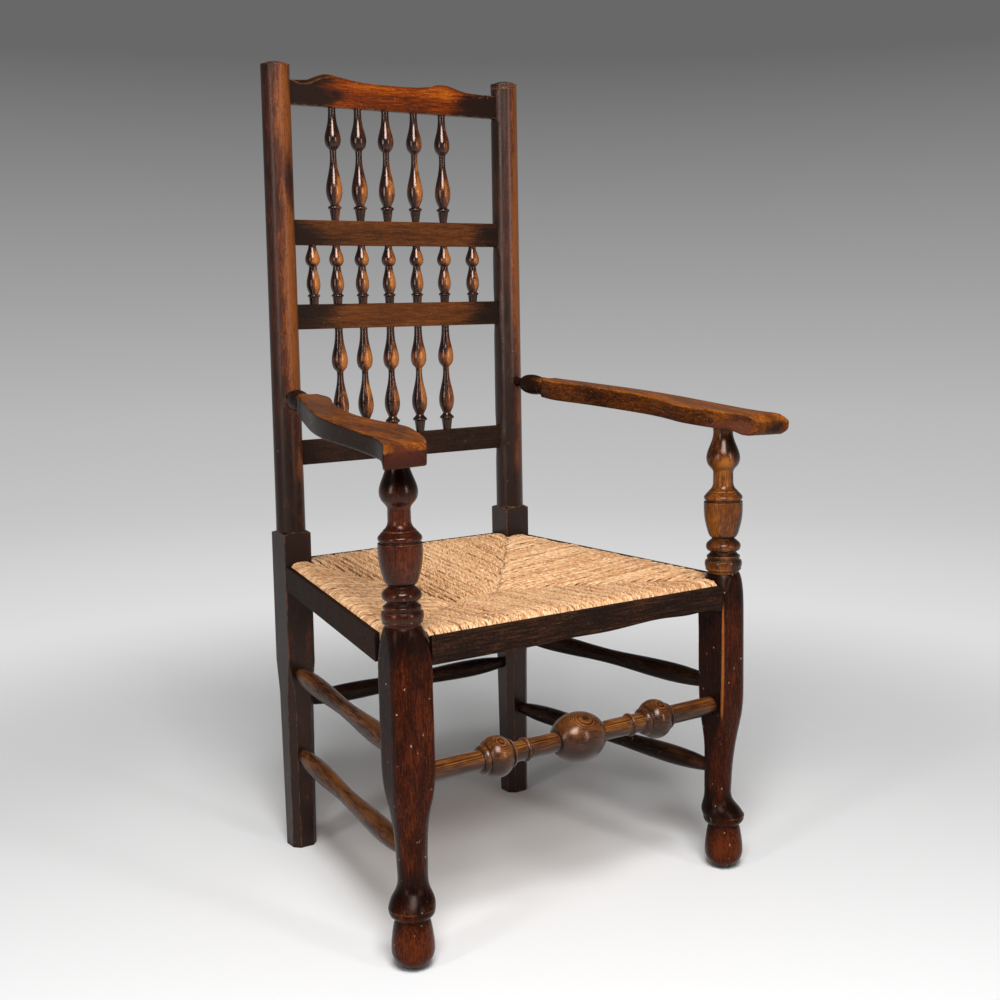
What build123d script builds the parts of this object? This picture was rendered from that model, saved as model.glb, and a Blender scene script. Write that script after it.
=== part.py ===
from build123d import *
import os

# Spindle back armchair with a rush seat. Millimetres, +Z up, the chair faces -Y,
# and +X is to the right seen from the front. The origin lies on the floor,
# under the middle of the chair's box.

# Heights from the floor
overall_height = 1150.0
arm_underside_height = 641.5
arm_rises = {-1: 45.0, 1: 49.5}
leg_top_height = 439.5
seat_top_rear = 439.5
seat_top_front = 426.5
block_top_height = 487.0
crest_drop = 56.0
front_stretcher_height = 248.0
back_stretcher_height = 225.0
side_stretcher_heights = (274.0, 147.0)

# Undersides of the lower slats, as shares of the way from the blocks up to the crest
upper_rail_share = 0.6804
middle_rail_share = 0.4835
lower_rail_share = 0.159

# Plan of the four legs at the floor, and how they lean
rear_foot_spacing = 400.0
front_foot_spacing = 531.0
foot_gap = 442.0
rear_lean_in = 6.0
rear_rake = 8.0
front_lean_in = 2.5
front_rake = 18.0

# Rear posts
post_square = 43.0
post_foot_square = 39.0
post_bevel = 0.7
post_foot_bevel = 9.0
post_bevel_run_bottom = 240.0
post_bevel_run_top = 290.0
post_diameter = 43.0
post_head_diameter = 40.5
post_shoulder = 5.0
post_shoulder_drop = 2.2
post_rims = {-1: 0.8, 1: 6.0}
post_grooves = {-1: 0.5, 1: 1.4}
post_dome = 3.6

# Front legs
leg_square = 50.6
leg_dome_diameter = 43.0
leg_dome_height = 42.0
leg_knee_height = 250.0
leg_ankle_height = 118.0
leg_ankle_radius = 19.2
ankle_inset = 5.9
ankle_setback = 5.9
foot_ball_diameter = 55.0
foot_ball_height = 67.0
foot_base_diameter = 16.0
foot_neck_radius = 21.5
pad_diameter = 59.0
pad_rim_height = 80.0
pad_lip = 2.5

# Arm supports
support_radius = 27.5
support_lower_tenon = 22.0
support_lower_tenon_depth = 40.0
support_upper_tenon = 17.0
support_upper_tenon_depth = 19.0

# Arms
arm_thickness = 29.0
hand_width = 70.0
arm_reach = 69.9
arm_neck_radius = 7.0
arm_bulb_radius = 15.4
arm_tenon_depth = 17.0
arm_hollow = 4.5
arm_nose_top_roll = 19.0
arm_nose_bottom_roll = 13.0
arm_edge = 3.0
arm_corner = 4.0
arm_hand_round = 9.0
arm_heel_round = 5.0

# Back rails and spindles
rail_thickness = 12.0
rail_height = 35.7
crest_end_height = 33.6
crest_peak_rise = 11.5
crest_bevel = 5.0
crest_bevel_depth = 4.0
crest_shoulder = 10.0
rail_tenon_gap = 6.0
rail_arris = 1.0
spindle_radius = 12.0
short_spindle_radius = 10.7
spindle_tenon = 8.0
spindle_tenon_depth = 12.0

# Seat
strip_thickness = 7.0
strip_height = 35.2
seat_rail_width = 18.0
seat_rail_height = 24.0
seat_rail_inset = 21.0
seat_rail_round = 7.0
seat_tenon = 14.0
seat_tenon_depth = 12.0
rush_crown = 4.0
rush_dish = 13.0
rush_dish_middle = -215.0
rush_roll = 11.0
rush_skirt = 1.5
strip_wear = 5.0
seat_shoulder = 2.5
rush_gap = 1.2
rush_dish_radius = 165.0

# Stretchers
stretcher_radius = 11.0
stretcher_end_radius = 10.0
stretcher_tenon = 16.5
stretcher_tenon_depth = 18.0
front_stretcher_radius = 13.3
front_ball_radius = 34.0
front_ball_half_length = 36.0
small_ball_radius = 27.5
small_ball_half_length = 18.0
small_ball_offset = 133.5
small_bead_radius = 19.5
small_bead_length = 8.0
front_ring_radius = 16.0
front_ring_length = 8.0
front_ring_offset = 88.0
front_groove = 1.2
front_tenon = 19.0

# Fastenings
nail_diameter = 2.4
nail_length = 22.0
nail_head_diameter = 5.0
nail_head_rise = 1.0
peg_diameter = 6.0
peg_stub = 1.0

# Fits and cuts
joint_clearance = 0.3
seat_clearance = 0.3
nail_clearance = 0.1
overrun = 30.0

# Column places across the clear width of the back, as shares of it
column_shares = (-0.420, -0.308, -0.187, -0.055, 0.085, 0.227, 0.377)

# Nail places along the strips, as shares of their half length
nail_shares = (-0.78, 0.0, 0.78)

# Lower edge of the front strip, (share of the half length, share of the wear)
strip_wear_shares = (
    (-0.30, 0.0), (-0.10, 0.35), (0.12, 0.20), (0.35, 0.70), (0.55, 0.95), (0.74, 0.55),
    (0.90, 0.75), (0.99, 0.0),
)


# Frame points

crest_rail_bottom = overall_height - crest_drop
back_height = crest_rail_bottom - block_top_height
upper_rail_bottom = block_top_height + upper_rail_share * back_height
middle_rail_bottom = block_top_height + middle_rail_share * back_height
lower_rail_bottom = block_top_height + lower_rail_share * back_height
rear_y = (foot_gap - front_rake + arm_reach - rear_rake - post_head_diameter / 2) / 2
front_y = rear_y - foot_gap


def between(start, end, height):
    """The point of a leaning line at a height."""
    share = (height - start.Z) / (end.Z - start.Z)
    return start + (end - start) * share


def rear_centre(side, height):
    """Axis of a rear post at a height; side is -1 on the left and 1 on the right."""
    foot = Vector(side * rear_foot_spacing / 2, rear_y, 0)
    head = Vector(side * (rear_foot_spacing / 2 - rear_lean_in), rear_y + rear_rake, overall_height)
    return between(foot, head, height)


def front_centre(side, height):
    """Axis of a front leg and its arm support at a height."""
    foot = Vector(side * front_foot_spacing / 2, front_y, 0)
    head_x = front_foot_spacing / 2 - front_lean_in
    head = Vector(side * head_x, front_y + front_rake, arm_underside_height)
    return between(foot, head, height)


def seat_top(y):
    """Height of the top of the edging strips, which falls towards the front."""
    fall = seat_top_rear - seat_top_front
    return seat_top_rear - fall * (rear_y - y) / foot_gap


def turning_plane(start, end):
    """Plane of a half section: its Y runs from start to end, its X stands out from that axis."""
    axis = (end - start).normalized()
    guide = Vector(1, 0, 0) if abs(axis.X) < abs(axis.Y) + abs(axis.Z) else Vector(0, 0, 1)
    normal = guide.cross(axis).normalized()
    return Plane(origin=start, x_dir=axis.cross(normal), z_dir=normal)


def turned(plane, start, cuts):
    """Half section of a turning in a turning plane, as (radius, distance) points.

    Each cut starts where the last one ended: one point is a straight cut, two are an arc
    through the first to the second, and more are one smooth curve.
    """
    with BuildSketch(plane) as section:
        with BuildLine():
            Line((0, start[1]), start)
            here = start
            for points in cuts:
                if len(points) == 1:
                    Line(here, points[0])
                elif len(points) == 2:
                    ThreePointArc(here, points[0], points[1])
                else:
                    Spline(here, *points)
                here = points[-1]
            if here[0] > 0:
                Line(here, (0, here[1]))
            Line((0, here[1]), (0, start[1]))
        make_face()
    return section.sketch


def sized(share_cuts, radius, length, offset=0):
    """Cuts given as shares of a radius and a length, at their real size."""
    return [[(r * radius, offset + h * length) for r, h in points] for points in share_cuts]


def long_axis(plane):
    """The axis that a turning plane's section turns about."""
    return Axis(plane.origin, plane.y_dir)


def finish(part, name):
    """Label a finished piece and write it."""
    part.label = name
    export_step(part, f"parts/{name}.step")


os.makedirs("parts", exist_ok=True)
sides = ((-1, "left"), (1, "right"))


# The back: a plane that leans with the posts, X across and Y up the back, facing front
back = Plane(
    origin=(0, rear_y, 0),
    x_dir=(1, 0, 0),
    z_dir=(0, -overall_height, rear_rake),
)

# Slats: bottom height and height at the ends
slats = {
    "crest_rail": (crest_rail_bottom, crest_end_height),
    "upper_back_rail": (upper_rail_bottom, rail_height),
    "middle_back_rail": (middle_rail_bottom, rail_height),
    "lower_back_rail": (lower_rail_bottom, rail_height),
}


def slat_reach(height):
    """Distance from the middle of the back to the tip of a slat at a height."""
    return rear_centre(1, height).X - rail_tenon_gap


def side_stretcher_line(side, height):
    """Tips of a side stretcher, rear then front."""
    rear = rear_centre(side, height)
    front = front_centre(side, height)
    reach = (front - rear).normalized()
    rear_tip = post_square / 2 - stretcher_tenon_depth
    front_tip = leg_square / 2 - stretcher_tenon_depth
    return rear + reach * rear_tip, front - reach * front_tip


def cross_line(centre, half_width, depth):
    """Tips of a level piece between a left and a right leg, left then right."""
    tip = centre.X - half_width + depth
    return Vector(-tip, centre.Y, centre.Z), Vector(tip, centre.Y, centre.Z)


front_mortise = front_centre(1, front_stretcher_height)
back_mortise = rear_centre(1, back_stretcher_height)
front_stretcher_line = cross_line(front_mortise, leg_square / 2, stretcher_tenon_depth)
back_stretcher_line = cross_line(back_mortise, post_square / 2, stretcher_tenon_depth)

# Outer corners of the seat frame, level with the strips
rear_corner = rear_centre(1, seat_top_rear - strip_height / 2)
rear_corner += Vector(post_square / 2, post_square / 2, 0)
front_corner = front_centre(1, seat_top_front - strip_height / 2)
front_corner += Vector(leg_square / 2, -leg_square / 2, 0)
rear_block_front = rear_corner.Y - post_square
front_leg_rear = front_corner.Y + leg_square
side_slope = (front_corner.X - rear_corner.X) / (rear_block_front - front_leg_rear)
side_stretch = (1 + side_slope**2) ** 0.5


def side_point(side, inset, y, drop):
    """Point at y, inside the outer face of the seat's side by an inset, below the strip tops by a drop."""
    outer = rear_corner.X + (rear_block_front - y) * side_slope
    return Vector(side * (outer - inset * side_stretch), y, seat_top(y) - drop)


def seat_rail_line(name):
    """Tips of a seat rail's tenons, left then right or rear then front."""
    drop = strip_height / 2
    if name == "front":
        y = front_corner.Y + seat_rail_inset
        tip = front_corner.X - leg_square + seat_tenon_depth
        return Vector(-tip, y, seat_top(y) - drop), Vector(tip, y, seat_top(y) - drop)
    if name == "back":
        y = rear_corner.Y - seat_rail_inset
        tip = rear_corner.X - post_square + seat_tenon_depth
        return Vector(-tip, y, seat_top(y) - drop), Vector(tip, y, seat_top(y) - drop)
    side = -1 if name == "left" else 1
    rear = side_point(side, seat_rail_inset, rear_block_front + seat_tenon_depth, drop)
    front = side_point(side, seat_rail_inset, front_leg_rear - seat_tenon_depth, drop)
    return rear, front


def arm_plane(side):
    """Middle plane of an arm: X runs forward along it from the post axis, Y to the chair's right."""
    rear = rear_centre(side, arm_underside_height + arm_rises[side])
    front = front_centre(side, arm_underside_height) + Vector(0, 0, arm_thickness / 2)
    forward = (front - rear).normalized()
    across = Vector(0, 0, 1).cross(forward)
    return Plane(origin=rear, x_dir=forward, z_dir=forward.cross(across))


def span_of_arm(side):
    """Distance from the post axis to the support axis, along the middle of an arm."""
    front = front_centre(side, arm_underside_height) + Vector(0, 0, arm_thickness / 2)
    return (front - rear_centre(side, arm_underside_height + arm_rises[side])).length


arm_tenon_tip = post_diameter / 2 - arm_tenon_depth
leg_height = (front_centre(1, leg_top_height) - front_centre(1, 0)).length
support_height = (front_centre(1, arm_underside_height) - front_centre(1, leg_top_height)).length


def lines_into(side, kind):
    """Tip, a point that the piece comes from, and diameter, of the round tenons in a post or leg."""
    near = 0 if kind == "rear" else 1
    found = []
    for height in side_stretcher_heights:
        line = side_stretcher_line(side, height)
        found.append((line[near], line[1 - near], stretcher_tenon))
    line = back_stretcher_line if kind == "rear" else front_stretcher_line
    found.append((line[side > 0], line[side < 0], stretcher_tenon if kind == "rear" else front_tenon))
    line = seat_rail_line("back" if kind == "rear" else "front")
    found.append((line[side > 0], line[side < 0], seat_tenon))
    line = seat_rail_line("left" if side < 0 else "right")
    found.append((line[near], line[1 - near], seat_tenon))
    return found


# Rear posts: square below, turned above, with a low dome on the head

dome_mid_share = 0.62
dome_drop_share = 0.3
dome_tip_share = 0.05


def bevelled_square(plane, width, bevel):
    """Square section with bevelled corners."""
    with BuildSketch(plane) as section:
        Rectangle(width, width)
        chamfer(section.vertices(), bevel)
    return section.sketch


for side, hand in sides:
    foot = rear_centre(side, 0)
    head = rear_centre(side, overall_height)
    post_plane = Plane(origin=foot, x_dir=(1, 0, 0), z_dir=head - foot)
    section_plane = turning_plane(foot, head)
    length = (head - foot).length
    square_r = post_square / 2
    corner_r = square_r * 2**0.5
    head_r = post_head_diameter / 2
    arm = arm_plane(side)
    arm_tip = arm.origin + arm.x_dir * arm_tenon_tip
    bores = lines_into(side, "rear")
    bores.append((arm_tip, arm_tip + arm.x_dir, 2 * arm_neck_radius))
    foot_section = bevelled_square(post_plane.offset(-post_shoulder), post_foot_square, post_foot_bevel)
    knee_section = bevelled_square(post_plane.offset(post_bevel_run_bottom), post_square, post_foot_bevel)
    block_section = bevelled_square(post_plane.offset(post_bevel_run_top), post_square, post_bevel)
    shoulder = turned(
        section_plane,
        (post_square, -overrun),
        [
            [(post_square, block_top_height - 2 * post_shoulder_drop)],
            [(corner_r, block_top_height - post_shoulder_drop)],
            [(square_r, block_top_height)],
        ],
    )
    rim = length - post_dome - post_rims[side]
    groove = post_grooves[side]
    column = turned(
        section_plane,
        (square_r, block_top_height - post_shoulder),
        [
            [(square_r, block_top_height)],
            [(head_r, rim - groove)],
            [(head_r - groove / 2, rim - groove / 2), (head_r, rim)],
            [(head_r, length - post_dome)],
            [(head_r - groove, length - post_dome)],
            [
                (dome_mid_share * head_r, length - dome_drop_share * post_dome),
                (dome_tip_share * head_r, length),
            ],
        ],
    )
    with BuildPart() as rear_post:
        loft([foot_section, knee_section], ruled=True)
        loft([knee_section, block_section], ruled=True)
        extrude(block_section, amount=block_top_height - post_bevel_run_top)
        revolve(shoulder, axis=long_axis(section_plane), mode=Mode.INTERSECT)
        revolve(column, axis=long_axis(section_plane))
        split(bisect_by=Plane.XY, keep=Keep.TOP)
        for bottom, height in slats.values():
            tip = slat_reach(bottom + height / 2) + joint_clearance
            with BuildSketch(back):
                with Locations((0, bottom + height / 2)):
                    Rectangle(2 * tip, height + 2 * joint_clearance)
            extrude(amount=rail_thickness / 2 + joint_clearance, both=True, mode=Mode.SUBTRACT)
        for tip, away, diameter in bores:
            reach = (away - tip).normalized()
            with BuildSketch(Plane(origin=tip - reach * joint_clearance, z_dir=reach)):
                Circle(diameter / 2 + joint_clearance)
            extrude(amount=post_square, mode=Mode.SUBTRACT)
    finish(rear_post.part, f"rear_post_{hand}")


# Front legs: a ball, a club pad, a round ankle, and a square top with a domed shoulder

# Levels of the pad and ankle: (share of the way from the rim to the ankle,
# share of the way from the pad's radius to the ankle's, share of the ankle's offset)
pad_shares = (
    (0.0, 0.0, 0.0), (0.12, 0.06, 0.26), (0.32, 0.30, 0.62), (0.55, 0.74, 0.90), (0.80, 0.98, 1.0),
)
# Levels of the calf: (share of the way from the ankle to the knee, share of the way from the ankle's
# radius to half the leg's width, share of the ankle's offset, roundness of the outer front corner,
# of the outer rear corner, and of the inner corners, as shares of the half width)
calf_shares = (
    (0.06, 0.01, 0.98, 0.97, 0.97, 0.97),
    (0.21, 0.08, 0.90, 0.97, 0.97, 0.97),
    (0.36, 0.20, 0.77, 0.97, 0.96, 0.94),
    (0.53, 0.40, 0.54, 0.96, 0.90, 0.82),
    (0.69, 0.66, 0.29, 0.94, 0.74, 0.55),
    (0.85, 0.92, 0.08, 0.86, 0.50, 0.28),
    (1.02, 1.0, 0.0, 0.74, 0.34, 0.12),
)
# Levels of the square: (share of the way from the knee to the shoulder, roundness as above)
square_shares = (
    (0.26, 0.69, 0.28, 0.06), (0.50, 0.68, 0.26, 0.05), (0.75, 0.68, 0.28, 0.06),
    (1.0, 0.70, 0.34, 0.10),
)
# Levels of the dome: (share of its height, share of the way from half the leg's width to the dome's
# radius, roundness as above)
shoulder_shares = (
    (0.28, 0.0, 0.74, 0.48, 0.26),
    (0.54, 0.03, 0.82, 0.68, 0.52),
    (0.74, 0.14, 0.90, 0.84, 0.78),
    (0.88, 0.38, 0.96, 0.94, 0.92),
    (0.96, 0.68, 0.97, 0.97, 0.97),
    (1.0, 1.0, 0.97, 0.97, 0.97),
)
# Ball: half profile up from the floor, as (share of its radius, share of its height)
ball_curve_shares = ((0.737, 0.115), (1.0, 0.392))
ball_neck_shares = ((0.997, 0.46), (0.965, 0.62), (0.90, 0.80), (0.84, 0.92))
pad_belly_shares = (0.93, 0.3)

round_share = 0.97


def soft_square(plane, centre, half, rounds):
    """Square with its own rounding at each corner, as shares of its half width."""
    arcs = []
    for turn, share in enumerate(rounds):
        r = share * half
        corner = Vector(half - r, half - r).rotate(Axis.Z, 90 * turn)
        start = Vector(r, 0).rotate(Axis.Z, 90 * turn)
        arcs.append([centre + corner + start.rotate(Axis.Z, step) for step in (0, 45, 90)])
    with BuildSketch(plane) as section:
        with BuildLine():
            for points, following in zip(arcs, arcs[1:] + arcs[:1]):
                ThreePointArc(*points)
                Line(points[-1], following[0])
        make_face()
    return section.sketch


dome_r = leg_dome_diameter / 2
half_leg = leg_square / 2
leg_shoulder_height = leg_height - leg_dome_height

for side, hand in sides:
    foot = front_centre(side, 0)
    top = front_centre(side, leg_top_height)
    up = (top - foot).normalized()
    leg_plane = Plane(origin=foot, x_dir=(side, 0, 0), z_dir=up)
    section_plane = turning_plane(foot, top)
    pad_r = pad_diameter / 2
    ball_r = foot_ball_diameter / 2
    levels = []
    for rise, narrow, shift in pad_shares:
        height = pad_rim_height + rise * (leg_ankle_height - pad_rim_height)
        width = pad_r + narrow * (leg_ankle_radius - pad_r)
        levels.append((height, width, shift, round_share, round_share, round_share))
    for rise, widen, shift, outer_round, rear_round, inner_round in calf_shares:
        height = leg_ankle_height + rise * (leg_knee_height - leg_ankle_height)
        width = leg_ankle_radius + widen * (half_leg - leg_ankle_radius)
        levels.append((height, width, shift, outer_round, rear_round, inner_round))
    for rise, outer_round, rear_round, inner_round in square_shares:
        height = leg_knee_height + rise * (leg_shoulder_height - leg_knee_height)
        levels.append((height, half_leg, 0, outer_round, rear_round, inner_round))
    for rise, narrow, outer_round, rear_round, inner_round in shoulder_shares:
        height = leg_shoulder_height + rise * leg_dome_height
        width = half_leg + narrow * (dome_r - half_leg)
        levels.append((height, width, 0, outer_round, rear_round, inner_round))
    sections = []
    for height, width, shift, outer_round, rear_round, inner_round in levels:
        centre = Vector(-shift * ankle_inset, side * shift * ankle_setback)
        rounds = [rear_round, inner_round, inner_round, outer_round]
        if side < 0:
            rounds.reverse()
        sections.append(soft_square(leg_plane.offset(height), centre, width, rounds))
    belly_height = foot_ball_height + pad_belly_shares[1] * (pad_rim_height - foot_ball_height)
    pad_cuts = [
        [(pad_belly_shares[0] * pad_r, belly_height), (pad_r, pad_rim_height - pad_lip)],
        [(pad_r, pad_rim_height)],
    ]
    ball_cuts = sized((ball_curve_shares, ball_neck_shares), ball_r, foot_ball_height)
    ball_cuts[1].append((foot_neck_radius, foot_ball_height))
    support_tip = front_centre(side, leg_top_height) - up * support_lower_tenon_depth
    with BuildPart() as front_leg:
        loft(sections)
        revolve(
            turned(section_plane, (foot_neck_radius, foot_ball_height), pad_cuts),
            axis=long_axis(section_plane),
        )
        revolve(
            turned(section_plane, (foot_base_diameter / 2, 0), ball_cuts),
            axis=long_axis(section_plane),
        )
        split(bisect_by=Plane.XY, keep=Keep.TOP)
        with BuildSketch(Plane(origin=support_tip, z_dir=top - foot)):
            Circle(support_lower_tenon / 2 + joint_clearance)
        extrude(amount=leg_height, mode=Mode.SUBTRACT)
        for tip, away, diameter in lines_into(side, "front"):
            reach = (away - tip).normalized()
            with BuildSketch(Plane(origin=tip - reach * joint_clearance, z_dir=reach)):
                Circle(diameter / 2 + joint_clearance)
            extrude(amount=leg_square, mode=Mode.SUBTRACT)
    finish(front_leg.part, f"front_leg_{hand}")


# Arm supports: rings, cup, hollow neck and bulb, from the leg up

support_cut_shares = (
    ((0.800, 0.014),),
    ((0.860, 0.016), (0.905, 0.034)),
    ((0.955, 0.062), (0.925, 0.084)),
    ((0.820, 0.087),),
    ((0.815, 0.094),),
    ((0.848, 0.108), (0.845, 0.119)),
    ((0.745, 0.129), (0.665, 0.142)),
    ((0.655, 0.149),),
    ((0.680, 0.153),),
    ((0.820, 0.160), (0.885, 0.180), (0.872, 0.199), (0.780, 0.216), (0.600, 0.236)),
    ((0.564, 0.243),),
    ((0.673, 0.254), (0.818, 0.299), (0.927, 0.359), (0.985, 0.430), (0.990, 0.478)),
    ((0.985, 0.499),),
    ((0.895, 0.503),),
    ((0.895, 0.511),),
    ((0.950, 0.515),),
    ((0.980, 0.529), (0.950, 0.541)),
    ((0.790, 0.566),),
    ((0.745, 0.569),),
    ((0.735, 0.576),),
    ((0.612, 0.592), (0.540, 0.612), (0.516, 0.640)),
    ((0.509, 0.700),),
    ((0.545, 0.718), (0.745, 0.752), (0.855, 0.808), (0.727, 0.873), (0.564, 0.930), (0.509, 1.0)),
    ((0.509, 1.06),),
)

for side, hand in sides:
    base = front_centre(side, leg_top_height)
    top = front_centre(side, arm_underside_height)
    up = (top - base).normalized()
    arm = arm_plane(side)
    section_plane = turning_plane(base, top)
    peg_point = front_centre(side, arm_underside_height) + Vector(0, 0, arm_thickness / 2)
    with BuildPart() as arm_support:
        revolve(
            turned(
                section_plane,
                (support_radius * support_cut_shares[0][0][0], 0),
                sized(support_cut_shares, support_radius, support_height),
            ),
            axis=long_axis(section_plane),
        )
        split(bisect_by=arm.offset(arm_hollow - arm_thickness / 2 - joint_clearance), keep=Keep.BOTTOM)
        with BuildSketch(Plane(origin=base, z_dir=up)):
            Circle(support_lower_tenon / 2)
        extrude(amount=-support_lower_tenon_depth + joint_clearance)
        with BuildSketch(Plane(origin=base, z_dir=up)):
            Circle(support_upper_tenon / 2)
        extrude(amount=support_height + support_upper_tenon_depth)
        with BuildSketch(Plane(origin=peg_point, z_dir=arm.y_dir)):
            Circle(peg_diameter / 2 + joint_clearance)
        extrude(amount=support_radius, both=True, mode=Mode.SUBTRACT)
    finish(arm_support.part, f"arm_support_{hand}")


# Arms: a turned neck at the post, a flat sawn body, and a rolled nose

# Plan of the body as (share of the arm's span, share of the hand's width outward)
arm_outer_shares = (
    (0.239, 0.218), (0.310, 0.315), (0.418, 0.447), (0.546, 0.585), (0.657, 0.640), (0.771, 0.617),
    (0.877, 0.560), (0.957, 0.512), (1.040, 0.483), (1.095, 0.520), (1.143, 0.602), (1.183, 0.720),
)
arm_inner_shares = (
    (1.095, -0.285), (1.035, -0.380), (0.953, -0.461), (0.885, -0.483), (0.830, -0.384),
    (0.768, -0.239), (0.697, -0.113), (0.617, -0.057), (0.509, -0.061), (0.358, -0.234),
    (0.271, -0.324), (0.230, -0.270),
)
arm_nose_shares = ((1.172, 0.300), (1.152, -0.150))
arm_heel_shares = ((0.210, 0.205), (0.210, -0.255))

# Side profile of the arm: the hollow of the underside as (share of the span, share of its depth),
# from the hand back, and a quarter of the nose's roll
arm_hollow_shares = (
    (1.092, 0.0), (1.074, 0.40), (1.050, 0.96), (1.020, 1.0), (0.900, 1.0), (0.800, 0.86), (0.690, 0.45),
    (0.560, 0.12), (0.430, 0.0),
)
roll_shares = ((0.5, 0.866), (0.866, 0.5))
arm_neck_share = 0.2115
nose_edge_share = 0.93

# Neck of the arm as (share of the bulb's radius, share of the way from post axis to body)
arm_neck_shares = (
    ((0.44, 0.33),),
    ((0.48, 0.36), (0.62, 0.39)),
    ((0.80, 0.44), (0.97, 0.55), (1.00, 0.64), (0.95, 0.74), (0.85, 0.82)),
    ((0.84, 0.84),),
    ((0.91, 0.87), (0.84, 0.90)),
    ((0.81, 0.905),),
    ((0.91, 0.935), (0.84, 0.965)),
    ((0.81, 0.97),),
    ((0.81, 1.05),),
)

for side, hand in sides:
    arm = arm_plane(side)
    arm_span = span_of_arm(side)
    arm_body_start = arm_neck_share * arm_span
    support_base = front_centre(side, leg_top_height)
    support_end = front_centre(side, arm_underside_height)
    half = arm_thickness / 2

    def plan(shares):
        """Plan points of the arm at their real size."""
        return [(u * arm_span, side * v * hand_width) for u, v in shares]

    outer = plan(arm_outer_shares)
    inner = plan(arm_inner_shares)
    nose = plan(arm_nose_shares)
    heel = plan(arm_heel_shares)
    skew = Vector(*outer[-1]) - Vector(*nose[1])
    skew = arm.from_local_coords(Vector(skew.X, skew.Y, 0)) - arm.origin
    profile_plane = Plane(origin=arm.origin, x_dir=skew.cross(arm.z_dir) * side, z_dir=skew)
    nose_tip = (arm.from_local_coords(Vector(*outer[-1])) - arm.origin).dot(profile_plane.x_dir)
    up_sign = 1 if profile_plane.y_dir.Z > 0 else -1
    neck_plane = turning_plane(arm.origin, arm.origin + arm.x_dir)
    peg_base = arm.from_local_coords(Vector(arm_span, 0))
    with BuildPart() as arm_piece:
        with BuildSketch(arm) as plan_sketch:
            with BuildLine():
                Spline(heel[0], *outer)
                ThreePointArc(outer[-1], nose[0], nose[1])
                Spline(nose[1], *inner, heel[1])
                Line(heel[1], heel[0])
            make_face()
            fillet(plan_sketch.vertices().sort_by_distance(Vector(*outer[-1]))[0], arm_corner)
            fillet(plan_sketch.vertices().sort_by_distance(Vector(*nose[1]))[0], arm_hand_round)
            fillet(plan_sketch.vertices().sort_by_distance(Vector(*heel[0]))[0], arm_heel_round)
            fillet(plan_sketch.vertices().sort_by_distance(Vector(*heel[1]))[0], arm_heel_round)
        extrude(amount=half + overrun, both=True)
        with BuildSketch(profile_plane):
            with BuildLine():
                high = up_sign * half
                low = -high
                heel_x = arm_body_start - overrun
                top_roll = [(nose_tip - (1 - u) * arm_nose_top_roll, high * v) for u, v in roll_shares]
                low_roll = [
                    (nose_tip - (1 - u) * arm_nose_bottom_roll, low * v) for u, v in reversed(roll_shares)
                ]
                hollow = [(u * arm_span, low + up_sign * v * arm_hollow) for u, v in arm_hollow_shares]
                Line((heel_x, high), (nose_tip - arm_nose_top_roll, high))
                Spline(
                    (nose_tip - arm_nose_top_roll, high),
                    *top_roll,
                    (nose_tip, 0),
                    tangents=((1, 0), (0, -up_sign)),
                )
                Spline(
                    (nose_tip, 0),
                    *low_roll,
                    (nose_tip - arm_nose_bottom_roll, low),
                    tangents=((0, -up_sign), (-1, 0)),
                )
                Line((nose_tip - arm_nose_bottom_roll, low), hollow[0])
                Spline(*hollow, tangents=((-1, 0), (-1, 0)))
                Line(hollow[-1], (heel_x, low))
                Line((heel_x, low), (heel_x, high))
            make_face()
        extrude(amount=arm_span, both=True, mode=Mode.INTERSECT)
        top_face = arm_piece.faces().filter_by(arm).sort_by(SortBy.AREA)[-1]
        nose_back = nose_tip * nose_edge_share
        rounded = []
        for edge in top_face.edges():
            if (edge.center() - arm.origin).dot(arm.x_dir) < nose_back:
                rounded.append(edge)
        fillet(rounded, arm_edge)
        revolve(
            turned(
                neck_plane,
                (arm_neck_radius, arm_tenon_tip),
                sized(arm_neck_shares, arm_bulb_radius, arm_body_start),
            ),
            axis=long_axis(neck_plane),
        )
        with BuildSketch(Plane(origin=support_base, z_dir=support_end - support_base)):
            Circle(support_upper_tenon / 2 + joint_clearance)
        extrude(amount=support_height + support_upper_tenon_depth + joint_clearance, mode=Mode.SUBTRACT)
        with BuildSketch(Plane(origin=peg_base, z_dir=arm.y_dir * -side)):
            Circle(peg_diameter / 2 + joint_clearance)
        extrude(amount=hand_width, mode=Mode.SUBTRACT)
        with BuildSketch(Plane(origin=peg_base, z_dir=arm.y_dir * side)):
            Circle(peg_diameter / 2 + joint_clearance)
        extrude(amount=support_upper_tenon, mode=Mode.SUBTRACT)
    finish(arm_piece.part, f"arm_{hand}")


# Pegs through the arms into the supports

peg_face_share = 0.43

with BuildPart() as arm_pegs:
    for side, hand in sides:
        arm = arm_plane(side)
        inner_face = -peg_face_share * hand_width
        peg_head = arm.from_local_coords(Vector(span_of_arm(side), side * (inner_face - peg_stub)))
        with BuildSketch(Plane(origin=peg_head, z_dir=arm.y_dir * side)):
            Circle(peg_diameter / 2)
        extrude(amount=support_upper_tenon - inner_face)
finish(arm_pegs.part, "arm_pegs")


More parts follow.
